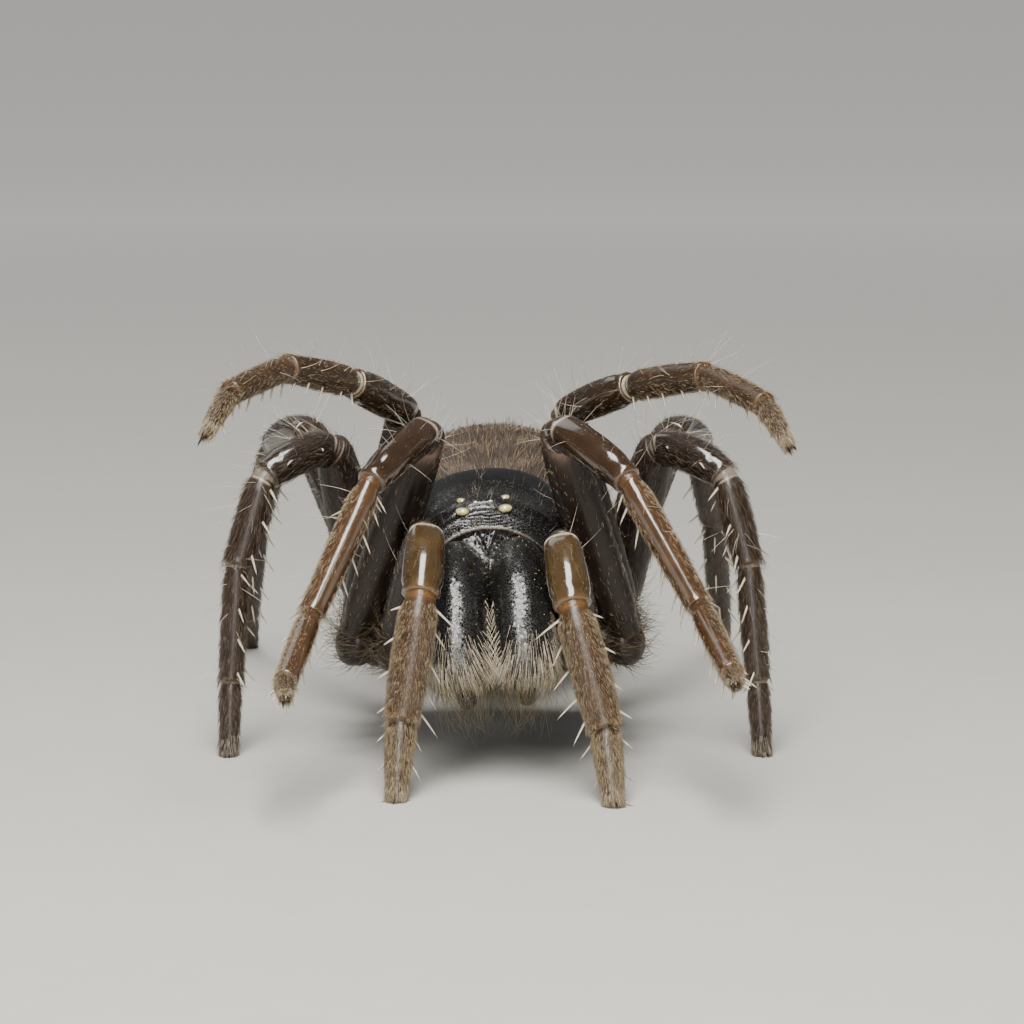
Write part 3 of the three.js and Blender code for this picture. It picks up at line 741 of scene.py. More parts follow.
def coxa_girth(root, end, swell):
    """Half-widths along a coxa and its trochanter, with the groove between them."""

    def half(u):
        width = root + (end - root) * u + swell * np.sin(math.pi * u)
        return width * (1 - 0.16 * hump(0.74, 0.035, u) - 0.35 * (1 - smooth(0, 0.12, u)))

    return half


def pleated(radius):
    """Half-widths along a soft sleeve, with its fine folds."""
    return lambda u: radius * (1 + 0.012 * np.cos(u * TAU * 9))


class Limb:
    """One limb: its line, its hard tubes by joint, and the soft sleeves between them."""

    def __init__(self, name, side):
        shape = LIMBS[name]
        self.name, self.side, self.sign = name, side, SIDES[side]
        self.joints = shape["joints"]
        self.kinds = list(self.joints)
        points = joint_points(shape, POSE[name][side], self.sign)
        ways = unit(np.diff(points, axis=0))
        self.hinge = unit(np.cross(ways[2], ways[0]))
        forward = -self.hinge[1] if name != "palp" else -self.hinge[0] * self.sign
        self.front = 1 if forward > 0 else -1
        self.path = Path(points, 0.5)
        self.tubes = {kind: self.hard_tube(i, kind) for i, kind in enumerate(self.kinds)}
        self.sleeves = [self.sleeve(i) for i in range(1, len(self.kinds))]
        self.coxa = self.hip_tube(shape, points[0])
        self.tip, self.tip_way = points[-1], ways[-1]

    def hard_tube(self, i, kind):
        _, widths, height = self.joints[kind]
        last = i == len(self.kinds) - 1
        start = self.path.marks[i] + (0.25 if i == 0 else 0.02)
        stop = self.path.marks[i + 1] - (0 if last else 0.02)
        return tube(
            self.path, start, stop, girth(*widths, kind), self.hinge, self.front, height, i,
            rows=90 if kind == "femur" else 64, columns=48, ridge=RIDGES.get(kind), tip=0.3 if last else 0.0,
            bow=0.01 if self.name == "leg2" else BOWS.get(kind, 0.0),
        )

    def sleeve(self, i):
        """The soft skin across the bend before joint i."""
        before, after = (self.joints[kind][1] for kind in self.kinds[i - 1:i + 1])
        radius = 0.84 * min(before[1], after[0])
        mark = self.path.marks[i]
        return tube(self.path, mark - 0.3, mark + 0.3, pleated(radius), self.hinge, self.front, 1.02, 5,
                    rows=40, columns=28)

    def hip_tube(self, shape, hip):
        """The coxa and trochanter, from under the body to the hip."""
        inner = rolled(np.array(shape["inner"]) * (self.sign, 1, 1))
        outer = hip + unit(hip - inner) * 0.3
        path = Path(np.array((inner, (inner + outer) / 2, outer)), 0.1)
        hinge = unit(np.cross(outer - inner, (0, 0, 1.0)))
        front = -1 if hinge[1] > 0 else 1
        return tube(path, 0, path.lengths[-1], coxa_girth(*shape["coxa"]), hinge, front, 1.0, 6, tip=0.3)


# How each joint of a limb is coloured from its root to its end, and the soft skin before it
LIMB_TONES = {
    "palp": {"femur": DARK, "patella": AMBER, "tibia": BROWN, "tarsus": BROWN * 0.6},
    # The first legs' dark knee is partly their own dark brown and partly painted shade.
    "leg1": {"femur": DARK, "patella": BROWN * 0.6, "tibia": BROWN * 1.4, "metatarsus": BROWN * 1.3,
             "tarsus": BROWN * 0.8},
    # The second legs' knee and tibia are made darker as painted shade, for the shadow they stand in.
    "leg2": {"femur": DARK, "patella": BROWN * 0.5, "tibia": BROWN * 0.6, "metatarsus": BROWN * 0.8},
    "leg3": {"femur": DARK, "patella": DARK * 1.4},
    "leg4": {"femur": DARK, "patella": DARK * 1.4},
}
SLEEVE_TONES = {
    "palp": {"patella": CREAM, "tibia": ORANGE * 0.8, "tarsus": BROWN * 1.6},
    "leg1": {"patella": CREAM, "tibia": BROWN * 2, "metatarsus": BROWN * 1.8, "tarsus": BROWN * 1.6},
    "leg2": {"patella": CREAM, "tibia": CREAM * 0.9, "metatarsus": BROWN * 2, "tarsus": BROWN * 2},
}

# Where a thin pale rim crosses a joint, along it
PALE_RIMS = {("leg1", "patella"): 0.17, ("leg2", "patella"): 0.085, ("leg2", "tibia"): 0.085,
             ("leg3", "patella"): 0.085, ("leg3", "tibia"): 0.085}


def blend(under, over, share):
    """Colours that go from under to over where share goes from 0 to 1."""
    share = share[:, None]
    return under * (1 - share) + over * share


def limb_tone(name, kind):
    """The colours of a joint: lighter at its ends, with its pale rims and the bare skin behind its knee."""
    body = LIMB_TONES[name].get(kind, BROWN * 0.5)
    palp_knee = (name, kind) == ("palp", "patella")
    lightness = 0.1 if kind == "femur" else 0.6 if name == "palp" else 0.25

    def tone(t, a):
        sides = (1 - upness(a)) / 2
        start = hump(0.0, 0.05, t) * (0 if palp_knee else 1)
        colour = blend(body, ORANGE, np.clip(hump(1.0, 0.07, t) + start, 0, 1) * lightness)
        if palp_knee:
            crumbled = 0.024 + 0.009 * np.sin(a * 61) + 0.008 * np.sin(a * 143 + 1)
            colour = blend(colour, CREAM * 1.5, hump(0.11 + 0.2 * sides, crumbled, t))
        if (name, kind) in PALE_RIMS:
            rim = hump(PALE_RIMS[name, kind] + 0.05 * sides, 0.014, t) * smooth(-0.2, 0.4, upness(a))
            colour = blend(colour, CREAM, rim * 0.85)
        if kind == "femur" and name in ("palp", "leg1"):
            colour = blend(colour, FLESH, hump(0.93, 0.07, t) * hump(0.5, 0.16, a))
        return colour

    return tone


def limb_nodes(name, side):
    """The solids that a limb's skin takes the place of."""
    root, end = ("maxilla", "tarsus") if name == "palp" else ("coxa", "foot")
    return [f"{name}_{side}_{node}" for node in (root, "femur", "patella_tibia", end)]


def build_skin(limb):
    """One skin over a whole limb: its coxa, its hard joints and the soft sleeves between them."""
    piece = Piece(f"{limb.name}_{limb.side}_skin", [LIMB_CUTICLE, MEMBRANE, FEMUR_CUTICLE, HAIRY_CUTICLE])
    piece.add_surface(limb.coxa, DARK * 1.2, slot=2)
    for kind, surface in limb.tubes.items():
        hairy = limb.name != "leg1" and kind in ("tibia", "metatarsus", "tarsus")
        slot = 2 if kind == "femur" else 3 if hairy else 0
        piece.add_surface(surface, limb_tone(limb.name, kind), slot)
    for kind, sleeve in zip(limb.kinds[1:], limb.sleeves):
        piece.add_surface(sleeve, SLEEVE_TONES.get(limb.name, {}).get(kind, CREAM * 0.45), slot=1)
    piece.build(limb_nodes(limb.name, limb.side))


# Front body

def profile_at(y, column):
    """A smooth curve through the carapace's rows."""
    rows = CARAPACE_ROWS
    slopes = np.gradient(rows[:, column], rows[:, 0])
    i = np.clip(np.searchsorted(rows[:, 0], y) - 1, 0, len(rows) - 2)
    span = rows[i + 1, 0] - rows[i, 0]
    s = np.clip((y - rows[i, 0]) / span, 0, 1)
    a, b, slope_a, slope_b = rows[i, column], rows[i + 1, column], slopes[i] * span, slopes[i + 1] * span
    before = (2 * s**3 - 3 * s**2 + 1) * a + (s**3 - 2 * s**2 + s) * slope_a
    return before + (3 * s**2 - 2 * s**3) * b + (s**3 - s**2) * slope_b


def carve_dome(px, py, pz, top):
    """The dome's heights, with the grooves behind the head, the rays and the pit cut into them."""
    across = np.abs(px)
    groove = hump(0.75 + 1.75 * (4.5 - py) / 3.2, GROOVE["half_width"], across)
    pz = pz - GROOVE["depth"] * groove * smooth(1.2, 2.2, py) * (1 - smooth(4.3, 4.7, py)) * top
    for slope in RAYS["slopes"]:
        ray = hump(0, RAYS["half_width"], (py - 4.7) - (across - 0.5) * slope)
        pz = pz - RAYS["depth"] * ray * smooth(0.5, 1.1, across) * (1 - smooth(2.0, 2.6, across)) * top
    pit = hump(PIT["y"] - across**2, PIT["half_length"], py) * hump(0, PIT["half_width"], across)
    return pz - PIT["depth"] * pit * top


def push_front(px, py, pz, top):
    """Places along the head, with its brows, its wrinkles and the lip over the jaws pushed forward."""
    waver = 1.4 * np.sin(px * 5.0) + 0.6 * np.sin(px * 13.0) + 0.2 * np.sin(px * 31.0)
    folds = np.sin(pz * TAU / WRINKLES["spacing"] + waver)
    folds = folds * (1 - smooth(0.08, 0.16, py)) * smooth(0.0, 0.03, py) * hump(0, WRINKLES["half_width"], px)
    brow = sum(rise * hump(y, half_length, py) for rise, y, half_length in BROWS)
    py = py - WRINKLES["depth"] * folds * top - brow * hump(0, 1.0, px) * top
    return py - LIP["rise"] * hump(LIP["y"], LIP["half_length"], py) * top


def carapace_surface():
    """The head and dome. Rows crowd towards the head, where the detail is."""
    rows, columns = 260, 200
    length = CARAPACE_ROWS[-1, 0]
    x = np.linspace(0, 1, rows)
    y = (0.1 * x + 0.9 * x**2.2) * length
    half, crown = profile_at(y, 1), profile_at(y, 2)
    angle = TAU * np.arange(columns) / columns
    x, z = np.sin(angle)[None, :], np.cos(angle)[None, :]
    px = np.sign(x) * np.abs(x) ** 0.93 * half[:, None] * np.where(z < 0, 1 + 0.12 * z, 1)
    py = np.broadcast_to(y[:, None], px.shape)
    upper = (crown - CARAPACE_MARGIN)[:, None] * np.maximum(z, 0) ** 0.86
    top = np.clip(z, 0, 1) ** 0.5
    pz = carve_dome(px, py, np.where(z > 0, upper, (CARAPACE_MARGIN - CARAPACE_BASE) * z), top)
    mound = hump(0, EYE_MOUND["half_width"], px) * hump(EYE_MOUND["y"], EYE_MOUND["half_length"], py)
    pz = pz + EYE_MOUND["rise"] * mound * top
    points = np.stack((px, push_front(px, py, pz, top), CARAPACE_MARGIN + pz), axis=-1)
    centre = np.array((0, 0, 4.4))
    points[0] = centre
    points[1] = centre + (points[1] - centre) * 0.96 + (0, 0.04, 0)
    points[-1] = (0, length, 4.1)
    return Surface(rolled(points), 56)


def squared(v, power):
    """A section's coordinates from -1 to 1, made squarer by a power below 1."""
    return np.sign(v)[..., None] * np.abs(v)[..., None] ** power


def jaw_place(sign):
    """A jaw's form: it bulges forwards from the head and comes down in one bend."""
    x, z, reach, drop = JAW["x"], JAW["z"], JAW["reach"], JAW["drop"]
    a = np.array((sign * x, -0.1, z))
    b = np.array((sign * (x + JAW["spread"] / 2), -0.78 * reach, z + 0.05))
    c = np.array((sign * (x + JAW["spread"]), -reach, z - drop))

    def place(t, side, deep):
        """A point of a jaw: side runs outwards and deep forwards, each from -1 to 1 over its section."""
        t = t[..., None]
        spot = a * (1 - t) ** 2 + b * 2 * t * (1 - t) + c * t * t
        way = unit(2 * (b - a) * (1 - t) + 2 * (c - b) * t)
        upper = unit(np.cross(way, X_AXIS))
        bulge = JAW["swell"] * np.sin(math.pi * t**0.9)
        square = 0.96 - 0.14 * smooth(0.2, 0.6, t)
        deeper = (JAW["half_height"] + bulge) * (1 - 0.16 * t**4)
        wider = JAW["half_width"] * (1 + 0.12 * t) * (1 - 0.06 * t**4)
        depth, width = squared(deep, square) * deeper, squared(side, square) * wider
        return spot + upper * depth + X_AXIS * width

    return place


def jaw_surface(sign, tile, rows=130, columns=72):
    place = jaw_place(sign)
    t = shares(rows)
    angle = TAU * np.arange(columns) / columns
    closing = np.sqrt(np.clip(1 - np.clip((t - 0.88) / 0.12, 0, 1) ** 2, 0, 1)) * np.where(t > 0, 1, 0)
    side = sign * np.sin(angle)[None, :] * closing[:, None]
    deep = np.cos(angle)[None, :] * closing[:, None]
    points = place(np.broadcast_to(t[:, None], side.shape), side, deep)
    return Surface(rolled(points), tile)


def fang_girth(u):
    return FANG["radius"] * (1 - 0.86 * u**1.3)


def fang_surface(sign, tile):
    """A fang, folded back under its jaw along one even curve."""
    start = np.array((sign * JAW["x"], FANG["back"] - JAW["reach"], JAW["z"] - JAW["drop"] - 0.1))
    middle = start + (0, -0.1, -FANG["down"] * 1.6)
    end = start + (sign * -0.12, FANG["length"], FANG["lift"] - FANG["down"])
    s = np.linspace(0, 1, 60)[:, None]
    line = start * (1 - s) ** 2 + middle * (2 * s * (1 - s)) + end * s**2
    path = Path(line[[0, 30, 59]], 0.1)
    path.points, path.tangents = line, unit(np.gradient(line, axis=0))
    path.lengths = np.concatenate(([0], np.linalg.norm(np.diff(line, axis=0), axis=1).cumsum()))
    surface = tube(path, 0, path.lengths[-1], fang_girth, X_AXIS, 1, 1.0, tile, tip=0.15, columns=24)
    return Surface(rolled(surface.points), tile)


def ellipsoid(centre, radii, tile, rows=40, columns=48, shape=None):
    """A ball whose rows run front to back, changed by shape(points on the unit ball)."""
    u = np.linspace(0, 1, rows)[:, None]
    angle = TAU * np.arange(columns)[None, :] / columns
    ring = np.sin(math.pi * u)
    along = np.broadcast_to(-np.cos(math.pi * u), (rows, columns))
    ball = np.stack((ring * np.sin(angle), along, ring * np.cos(angle)), axis=-1)
    points = ball * radii if shape is None else shape(ball) * radii
    return Surface(rolled(points + centre), tile)


def carapace_tone(surface):
    """Black, browner behind, with a pale line along the edge over the jaws."""
    y, z = surface.points[..., 1], surface.points[..., 2]

    def tone(t, a):
        base = BLACK * (1 + 0.9 * smooth(0.75, 1, t))[:, None]
        broken = 0.6 + 0.25 * np.sin(a * 700) + 0.15 * np.sin(a * 1730 + 1)
        return blend(base, CREAM, (hump(-0.046, 0.0075, y) * smooth(5.0, 5.3, z)).ravel() * broken)

    return tone


def fold_shape(ball):
    """The wet fold under the lip: a ball with a raised V on its front."""
    across, up = np.abs(ball[..., :1]), ball[..., 2:]
    rims = hump(0.418 * up - 0.187, 0.03, across) * smooth(0.3, 0.45, up)
    return ball * (1 + 0.06 * rims + 0.008 * np.sin(ball[..., :1] * 29 + 4 * np.sin(up * 17)))


def build_part(name, material, slot, node, *parts):
    """A piece of one material, from tubes and their colours, in place of one node."""
    piece = Piece(name, [material])
    for surface, tone in parts:
        piece.add_surface(surface, tone)
    piece.build([node])


def build_head():
    piece = Piece("carapace_skin", [BLACK_CUTICLE, DOME_CUTICLE, WET_FOLD])
    surface = carapace_surface()
    piece.add_surface(surface, carapace_tone(surface), slot=lambda t: np.where(t > 0.43, 1, 0))
    fold = ellipsoid((0, 0.25, 4.6), (1.5, 0.42, 1.25), 57, 110, 180, shape=fold_shape)
    piece.add_surface(fold, BLACK, slot=2)
    piece.build(["carapace"])
    return surface


def eye_tone(ball, sign, material):
    """Gold or grey in the middle of an eye, and dark towards its rim."""
    # An eye darkens as it turns away from the front: on the gold lateral eyes this is painted shade.
    gaze = unit(np.array((sign * 0.3, -1.0, 0.35)))
    middle = smooth(0.35, 0.9, ball.normals @ gaze).ravel()
    # The grey middle of the dark median eyes is a painted highlight, for the glint on their lenses.
    heart_and_glint = EYE_GOLD if material is GOLD_LENS else EYE_GREY_PAINTED_HIGHLIGHT
    return lambda t, a: blend(EYE_RIM_AND_PAINTED_SHADE, heart_and_glint, middle)


def leaning(amount):
    """A change of shape that raises one side of a ball and lowers the other."""
    return lambda ball: ball + ball[..., :1] * (0, 0, amount)


def build_eyes():
    for name, (x, y, z, radius) in EYES.items():
        material = DARK_LENS if name.endswith("median") else GOLD_LENS
        lift = 0.25 if name == "posterior_lateral" else 0.06
        slot = "eye_dark" if name == "anterior_median" else "eye_lens"
        for side, sign in SIDES.items():
            node = f"eye_{name}_{side}"
            radii = EYE_SHAPE * radius
            ball = ellipsoid((sign * x, y, z), radii, 0, 24, 32, shape=leaning(sign * lift))
            build_part(f"{node}_lens", material, slot, node, (ball, eye_tone(ball, sign, material)))


def jaw_tone(t, a):
    return BLACK * (1 + 1.2 * smooth(0.75, 1, t))[:, None]


def fang_tone(t, a):
    return blend(BLACK, AMBER * 0.5, t)


def build_jaws():
    """Both jaws and fangs. The jaws' surfaces are kept for their bristles."""
    surfaces = {}
    for side, sign in SIDES.items():
        surfaces[side] = jaw_surface(sign, 58 if sign > 0 else 59)
        jaw, fang = f"chelicera_{side}", f"fang_{side}"
        build_part(f"{jaw}_skin", BLACK_CUTICLE, "black_cuticle", jaw, (surfaces[side], jaw_tone))
        build_part(f"{fang}_shell", BLACK_CUTICLE, "dark_cuticle", fang, (fang_surface(sign, 0), fang_tone))
    return surfaces


def build_underside():
    """The breastplate with its lip, and the waist."""
    y, z, half_length = STERNUM["y"], STERNUM["z"], STERNUM["half_length"]
    plate = ellipsoid((0, y, z), (STERNUM["half_width"], half_length, STERNUM["half_height"]), 0, 60, 64)
    lip = ellipsoid((0, y - half_length - 0.05, z - 0.05), (0.48, 0.42, 0.4), 1)
    start, end, radius = PEDICEL["from"], PEDICEL["to"], PEDICEL["radius"]
    radii = (radius, (end - start) / 2 + 0.25, radius)
    waist = ellipsoid((0, (start + end) / 2, PEDICEL["z"]), radii, 0, 30, 32)
    parts = ((plate, DARK * 1.5), (lip, DARK * 1.2))
    build_part("sternum_plate", LIMB_CUTICLE, "dark_cuticle", "sternum", *parts)
    build_part("pedicel_skin", LIMB_CUTICLE, "dark_cuticle", "pedicel", (waist, DARK))
    return plate


# Rear body

def egg(ball):
    """A ball made fuller behind its middle."""
    y = ball[..., 1:2]
    full = 1 + 0.13 * y - 0.05 * y * y
    return ball * np.concatenate((full, np.ones_like(y), full), axis=-1)


def underside(a):
    """1 on the abdomen's belly and 0 above."""
    return smooth(0.3, 0.42, np.minimum(a, 1 - a))


BAR_COUNT = 9


def chevrons(t, a):
    """The abdomen's faint pale bars, which slant back from its middle, from 0 to 1."""
    side = np.minimum(a, 1 - a)
    bars = hump(0.5, 0.2, (t - side) * BAR_COUNT % 1)
    return bars * hump(0.06, 0.07, side) * smooth(0.2, 0.35, t) * (1 - smooth(0.8, 0.95, t))


def abdomen_tone(t, a):
    return SOFT * (0.8 + 0.9 * chevrons(t, a) + 0.5 * underside(a))[:, None]


def build_abdomen():
    """The abdomen's skin, which lies a little inside the solid to leave room for its coat."""
    radii = np.array([ABDOMEN[size] for size in ("half_width", "half_length", "half_height")]) - 0.12
    surface = ellipsoid((0, ABDOMEN["y"], ABDOMEN["z"]), radii, 60, 120, 144, shape=egg)
    build_part("abdomen_skin", ABDOMEN_SKIN, "abdomen_skin", "abdomen", (surface, abdomen_tone))
    return surface


def ringed(radius, joints):
    """Half-widths along a spinneret: tapering, and narrower between its joints."""
    return lambda u: radius * (1 - 0.45 * u) * (1 - 0.12 * np.cos(u * TAU * joints))


def build_spinnerets():
    surfaces = []
    for kind, (x, z, length, radius, joints) in SPINNERETS.items():
        for side, sign in SIDES.items():
            root = np.array((sign * x, ABDOMEN["y"] + ABDOMEN["half_length"] * 0.9, z))
            way = unit(np.array((sign * 0.22, 1, 0.12)))
            path = Path(rolled(np.array((root, root + way * length / 2, root + way * length))), 0.1)
            surface = tube(path, 0, path.lengths[-1], ringed(radius, joints), X_AXIS, 1, 1.0, 0, tip=0.15)
            node = f"spinneret_{kind}_{side}"
            build_part(f"{node}_skin", ABDOMEN_SKIN, "abdomen_skin", node, (surface, SOFT * 1.3))
            surfaces.append(surface)
    return surfaces


# Hair

# Looks of hair: width, lean out of the skin, and what add_hairs takes
FINE = {"width": 0.0095, "lean": 0.2, "curl": 0.06, "splay": 0.14, "sections": 2}
FOOT_TUFT = {"width": 0.013, "lean": 0.2, "splay": 0.1, "sections": 2}
HIP_FUR = {"width": 0.016, "lean": 0.6, "curl": 0.2, "sections": 3}
CURLED = {"width": 0.014, "lean": 0.7, "curl": 0.4, "splay": 0.5, "sections": 5}
STOUT_SPINE = {"width": 0.08, "lean": 0.78, "splay": 0.12, "curl": 0.03, "sections": 5, "sink": 0.03}
LONG = {"width": 0.013, "lean": 1.2, "curl": 0.16, "splay": 0.6, "sections": 6}
KNEE_LONG = {"width": 0.012, "lean": 1.0, "curl": 0.3, "splay": 0.5, "sections": 6}
CROSSING = {"width": 0.015, "lean": 0.22, "splay": 0.05, "curl": 0.02, "sections": 4}
BRISTLE = {"width": 0.012, "lean": 0.2, "splay": 0.07, "curl": 0.03, "sections": 4}
OUTER_BRISTLE = {"width": 0.012, "lean": 0.3, "splay": 0.2}
FRINGE = {"width": 0.0105, "lean": 0.3, "splay": 0.4, "curl": -0.04, "wave": 0.09, "sections": 9}
BEARD = {"width": 0.014, "lean": 0.5, "splay": 0.4}
EDGE_FUR = {"width": 0.018, "lean": 0.5, "curl": 0.2}
CREST = {"width": 0.009, "lean": 1.0, "curl": 0.3, "splay": 0.5, "sections": 5}
PLATE_FUR = {"width": 0.018, "lean": 0.6}
SPINNERET_FUR = {"width": 0.016, "lean": 0.5}
ABDOMEN_FUR = {"width": 0.02, "lean": 0.34, "curl": 0.15, "sections": 2}
LONG_FUR = {"width": 0.018, "lean": 0.7, "curl": 0.3, "sections": 4}
GRANULE = {"lean": 1.5, "splay": 1.0, "sections": 2, "sink": 0.012}

# Fine hair on each joint: how many, how long, and how far the upper face is left bare
FINE_HAIR = {
    "palp": {"femur": (300, 0.22, 0), "patella": (70, 0.12, 0), "tibia": (5200, 0.2, 0.3),
             "tarsus": (4000, 0.24, 0)},
    "leg1": {"femur": (500, 0.2, 0), "patella": (130, 0.12, 0.2), "tibia": (2300, 0.22, 1.0),
             "metatarsus": (2300, 0.22, 1.0), "tarsus": (1500, 0.2, 0.8)},
    "leg2": {"femur": (500, 0.2, 0), "patella": (500, 0.2, 0.3), "tibia": (1500, 0.26, 0.6),
             "metatarsus": (1800, 0.26, 0.4), "tarsus": (1700, 0.24, 0)},
    "leg3": {"femur": (1000, 0.28, 0), "patella": (900, 0.3, 0), "tibia": (1300, 0.34, 0),
             "metatarsus": (1500, 0.32, 0), "tarsus": (1300, 0.28, 0)},
    "leg4": {"femur": (1000, 0.3, 0), "patella": (900, 0.3, 0), "tibia": (1500, 0.34, 0),
             "metatarsus": (1700, 0.32, 0), "tarsus": (1300, 0.28, 0)},
}
HAIR_TONES = {
    "palp": (TAWNY_HAIR, BUFF_HAIR * 0.6), "leg1": (TAWNY_HAIR * 1.1, BUFF_HAIR * 0.7),
    "leg2": (TAWNY_HAIR * 0.9, BUFF_HAIR * 0.5), "leg3": (BUFF_HAIR * 0.7, DARK_HAIR * 1.6),
    "leg4": (BUFF_HAIR * 0.7, DARK_HAIR * 1.6),
}


def fine_cover(kind, bare):
    """Where fine hair grows on a joint."""
    low = 0.06 if kind == "tibia" else 0.02
    high = 0.86 if kind == "tarsus" else 1.0
    return lambda t, a: between(low, high, t) * (1 - bare * hump(0.1, 0.19, from_top(a)))


def coat_limb(limb):
    """Fine hair over one limb, thick on the lower joints, sparse on the knee and femur."""
    piece = Piece(f"{limb.name}_{limb.side}_hair", [HAIR])
    tones = HAIR_TONES[limb.name]
    for kind, surface in limb.tubes.items():
        count, length, bare = FINE_HAIR[limb.name][kind]
        grow(piece, surface, count, fine_cover(kind, bare), length, tones, **FINE)
    femur, foot = limb.tubes["femur"], limb.tubes["tarsus"]
    foot_tones, tuft_tones = (PALE_HAIR * 0.8, tones[0]), (GOLD_HAIR * 0.7, DARK_HAIR)
    grow(piece, foot, 260, lambda t, a: smooth(0.55, 0.75, t) * (t < 0.84), 0.36, foot_tones, **FOOT_TUFT)
    grow(piece, limb.coxa, 260, cover(0.2), 0.34, (BUFF_HAIR, DARK_HAIR), **HIP_FUR)
    grow(piece, limb.coxa, 45, lambda t, a: smooth(0.7, 0.85, t) * (t < 0.99), 0.7, tuft_tones, **CURLED)
    grow(piece, femur, 30, lambda t, a: (1 - smooth(0.1, 0.2, t)) * (t > 0.03), 0.6, tuft_tones, **CURLED)
    grow_granules(piece, femur, 900, cover(above=-0.6), DARK * 1.6)
    grow_granules(piece, femur, 50, cover(above=-0.6), DUST, 0.026)
    piece.build()


# Spines on each joint: rows of place around, count and length. 0.25 is in front and 0.5 straight below.
SPINE_ROWS = {
    "palp": {"tibia": ((0.27, 5, 0.66), (0.4, 3, 0.5), (0.72, 4, 0.34)),
             "tarsus": ((0.3, 3, 0.45), (0.7, 3, 0.36))},
    "leg1": {"tibia": ((0.34, 7, 0.5), (0.42, 4, 0.42), (0.64, 6, 0.48)),
             "metatarsus": ((0.38, 6, 0.46), (0.6, 6, 0.46)),
             "tarsus": ((0.4, 3, 0.3), (0.6, 3, 0.3))},
    "leg2": {"tibia": ((0.36, 5, 0.5), (0.62, 5, 0.45)), "metatarsus": ((0.4, 5, 0.45), (0.6, 5, 0.45)),
             "tarsus": ((0.4, 3, 0.3), (0.6, 3, 0.3))},
    "leg3": {"patella": ((0.2, 2, 0.35),), "tibia": ((0.25, 3, 0.45), (0.75, 2, 0.45), (0.45, 2, 0.45)),
             "metatarsus": ((0.2, 4, 0.5), (0.7, 3, 0.5), (0.45, 3, 0.45))},
    "leg4": {"tibia": ((0.3, 3, 0.5), (0.62, 3, 0.5)),
             "metatarsus": ((0.3, 4, 0.5), (0.6, 4, 0.5), (0.45, 3, 0.5))},
}

# Long fine bristles on each joint
LONG_HAIR = {
    "palp": {"femur": 3}, "leg1": {"femur": 14, "patella": 10, "tibia": 6},
    "leg2": {"femur": 12, "patella": 16, "tibia": 12, "metatarsus": 10},
    "leg3": {"femur": 14, "patella": 14, "tibia": 12, "metatarsus": 10},
    "leg4": {"femur": 12, "patella": 14, "tibia": 14, "metatarsus": 12},
}


def before_knee(t, a):
    return hump(0.96, 0.04, t) * (t < 0.985) * (upness(a) > 0)


def spine_limb(limb):
    """Stout pale spines under the lower joints, long fine bristles at the knees, and the claws."""
    piece = Piece(f"{limb.name}_{limb.side}_spines", [SPINE])
    for kind, rows in SPINE_ROWS[limb.name].items():
        surface = limb.tubes[kind]
        for around, count, length in rows:
            t = (np.arange(count) + 0.6 + RNG.uniform(-0.12, 0.12, count)) / (count + 0.3)
            spots = surface.at(t, around + RNG.uniform(-0.03, 0.03, count))
            lengths = length * RNG.uniform(0.9, 1.2, count)
            uvs = surface.uv(t, np.full(count, around))
            add_hairs(piece, spots, uvs, lengths, tone=PALE_HAIR, **STOUT_SPINE)
    for kind, count in LONG_HAIR[limb.name].items():
        grow(piece, limb.tubes[kind], count, cover(above=0.1), 0.95, PALE_HAIR, **LONG)
    if limb.name != "palp":
        grow(piece, limb.tubes["femur"], 7, before_knee, 1.1, PALE_HAIR, **KNEE_LONG)
    grow_claws(piece, limb)
    piece.build()


def grow_granules(piece, surface, count, density, tone, size=0.034):
    """Tiny domes that catch the light on the hard plates."""
    grow(piece, surface, count, density, size * 0.75, tone, width=size * 1.3, **GRANULE)


def grow_claws(piece, limb):
    """Two claws, or one on a palp, from the limb's tip and curving down."""
    level = unit(np.array((*limb.tip_way[:2], max(limb.tip_way[2], -0.1))))
    across = unit(np.cross(level, (0, 0, 1.0)))
    for side in (0,) if limb.name == "palp" else (-1, 1):
        root = limb.tip + across * 0.06 * side - level * 0.12
        root[2] = max(root[2], 0.14)
        spots = (root[None], level[None], np.array([[0, 0, 1.0]]))
        add_hairs(piece, spots, np.array([[0.95, 0.95]]), 0.42, 0.1, 1.4 + 0.1 * side, DARK, splay=0.0,
                  bend=(0, 0, -0.35), sections=6, sink=0.1)


def comb(spots, way, amount):
    """Lies turned part of the way towards a direction, along the skin."""
    amount = np.reshape(amount, (-1, 1))
    way = np.asarray(way) - spots[1] * (spots[1] @ np.asarray(way))[:, None]
    return unit(spots[2] * (1 - amount) + unit(way) * amount)


def slanted(a):
    """How far a jaw's bristles turn inwards: most beside its inner edge."""
    return 0.3 - 0.26 * smooth(-0.15, 0.15, from_top(a))


# Rows of hairs along a jaw's inner edge: place around, count, and where each begins along the jaw
CROSSING_ROWS = ((0.83, 23, 0.5), (0.87, 11, 0.66))


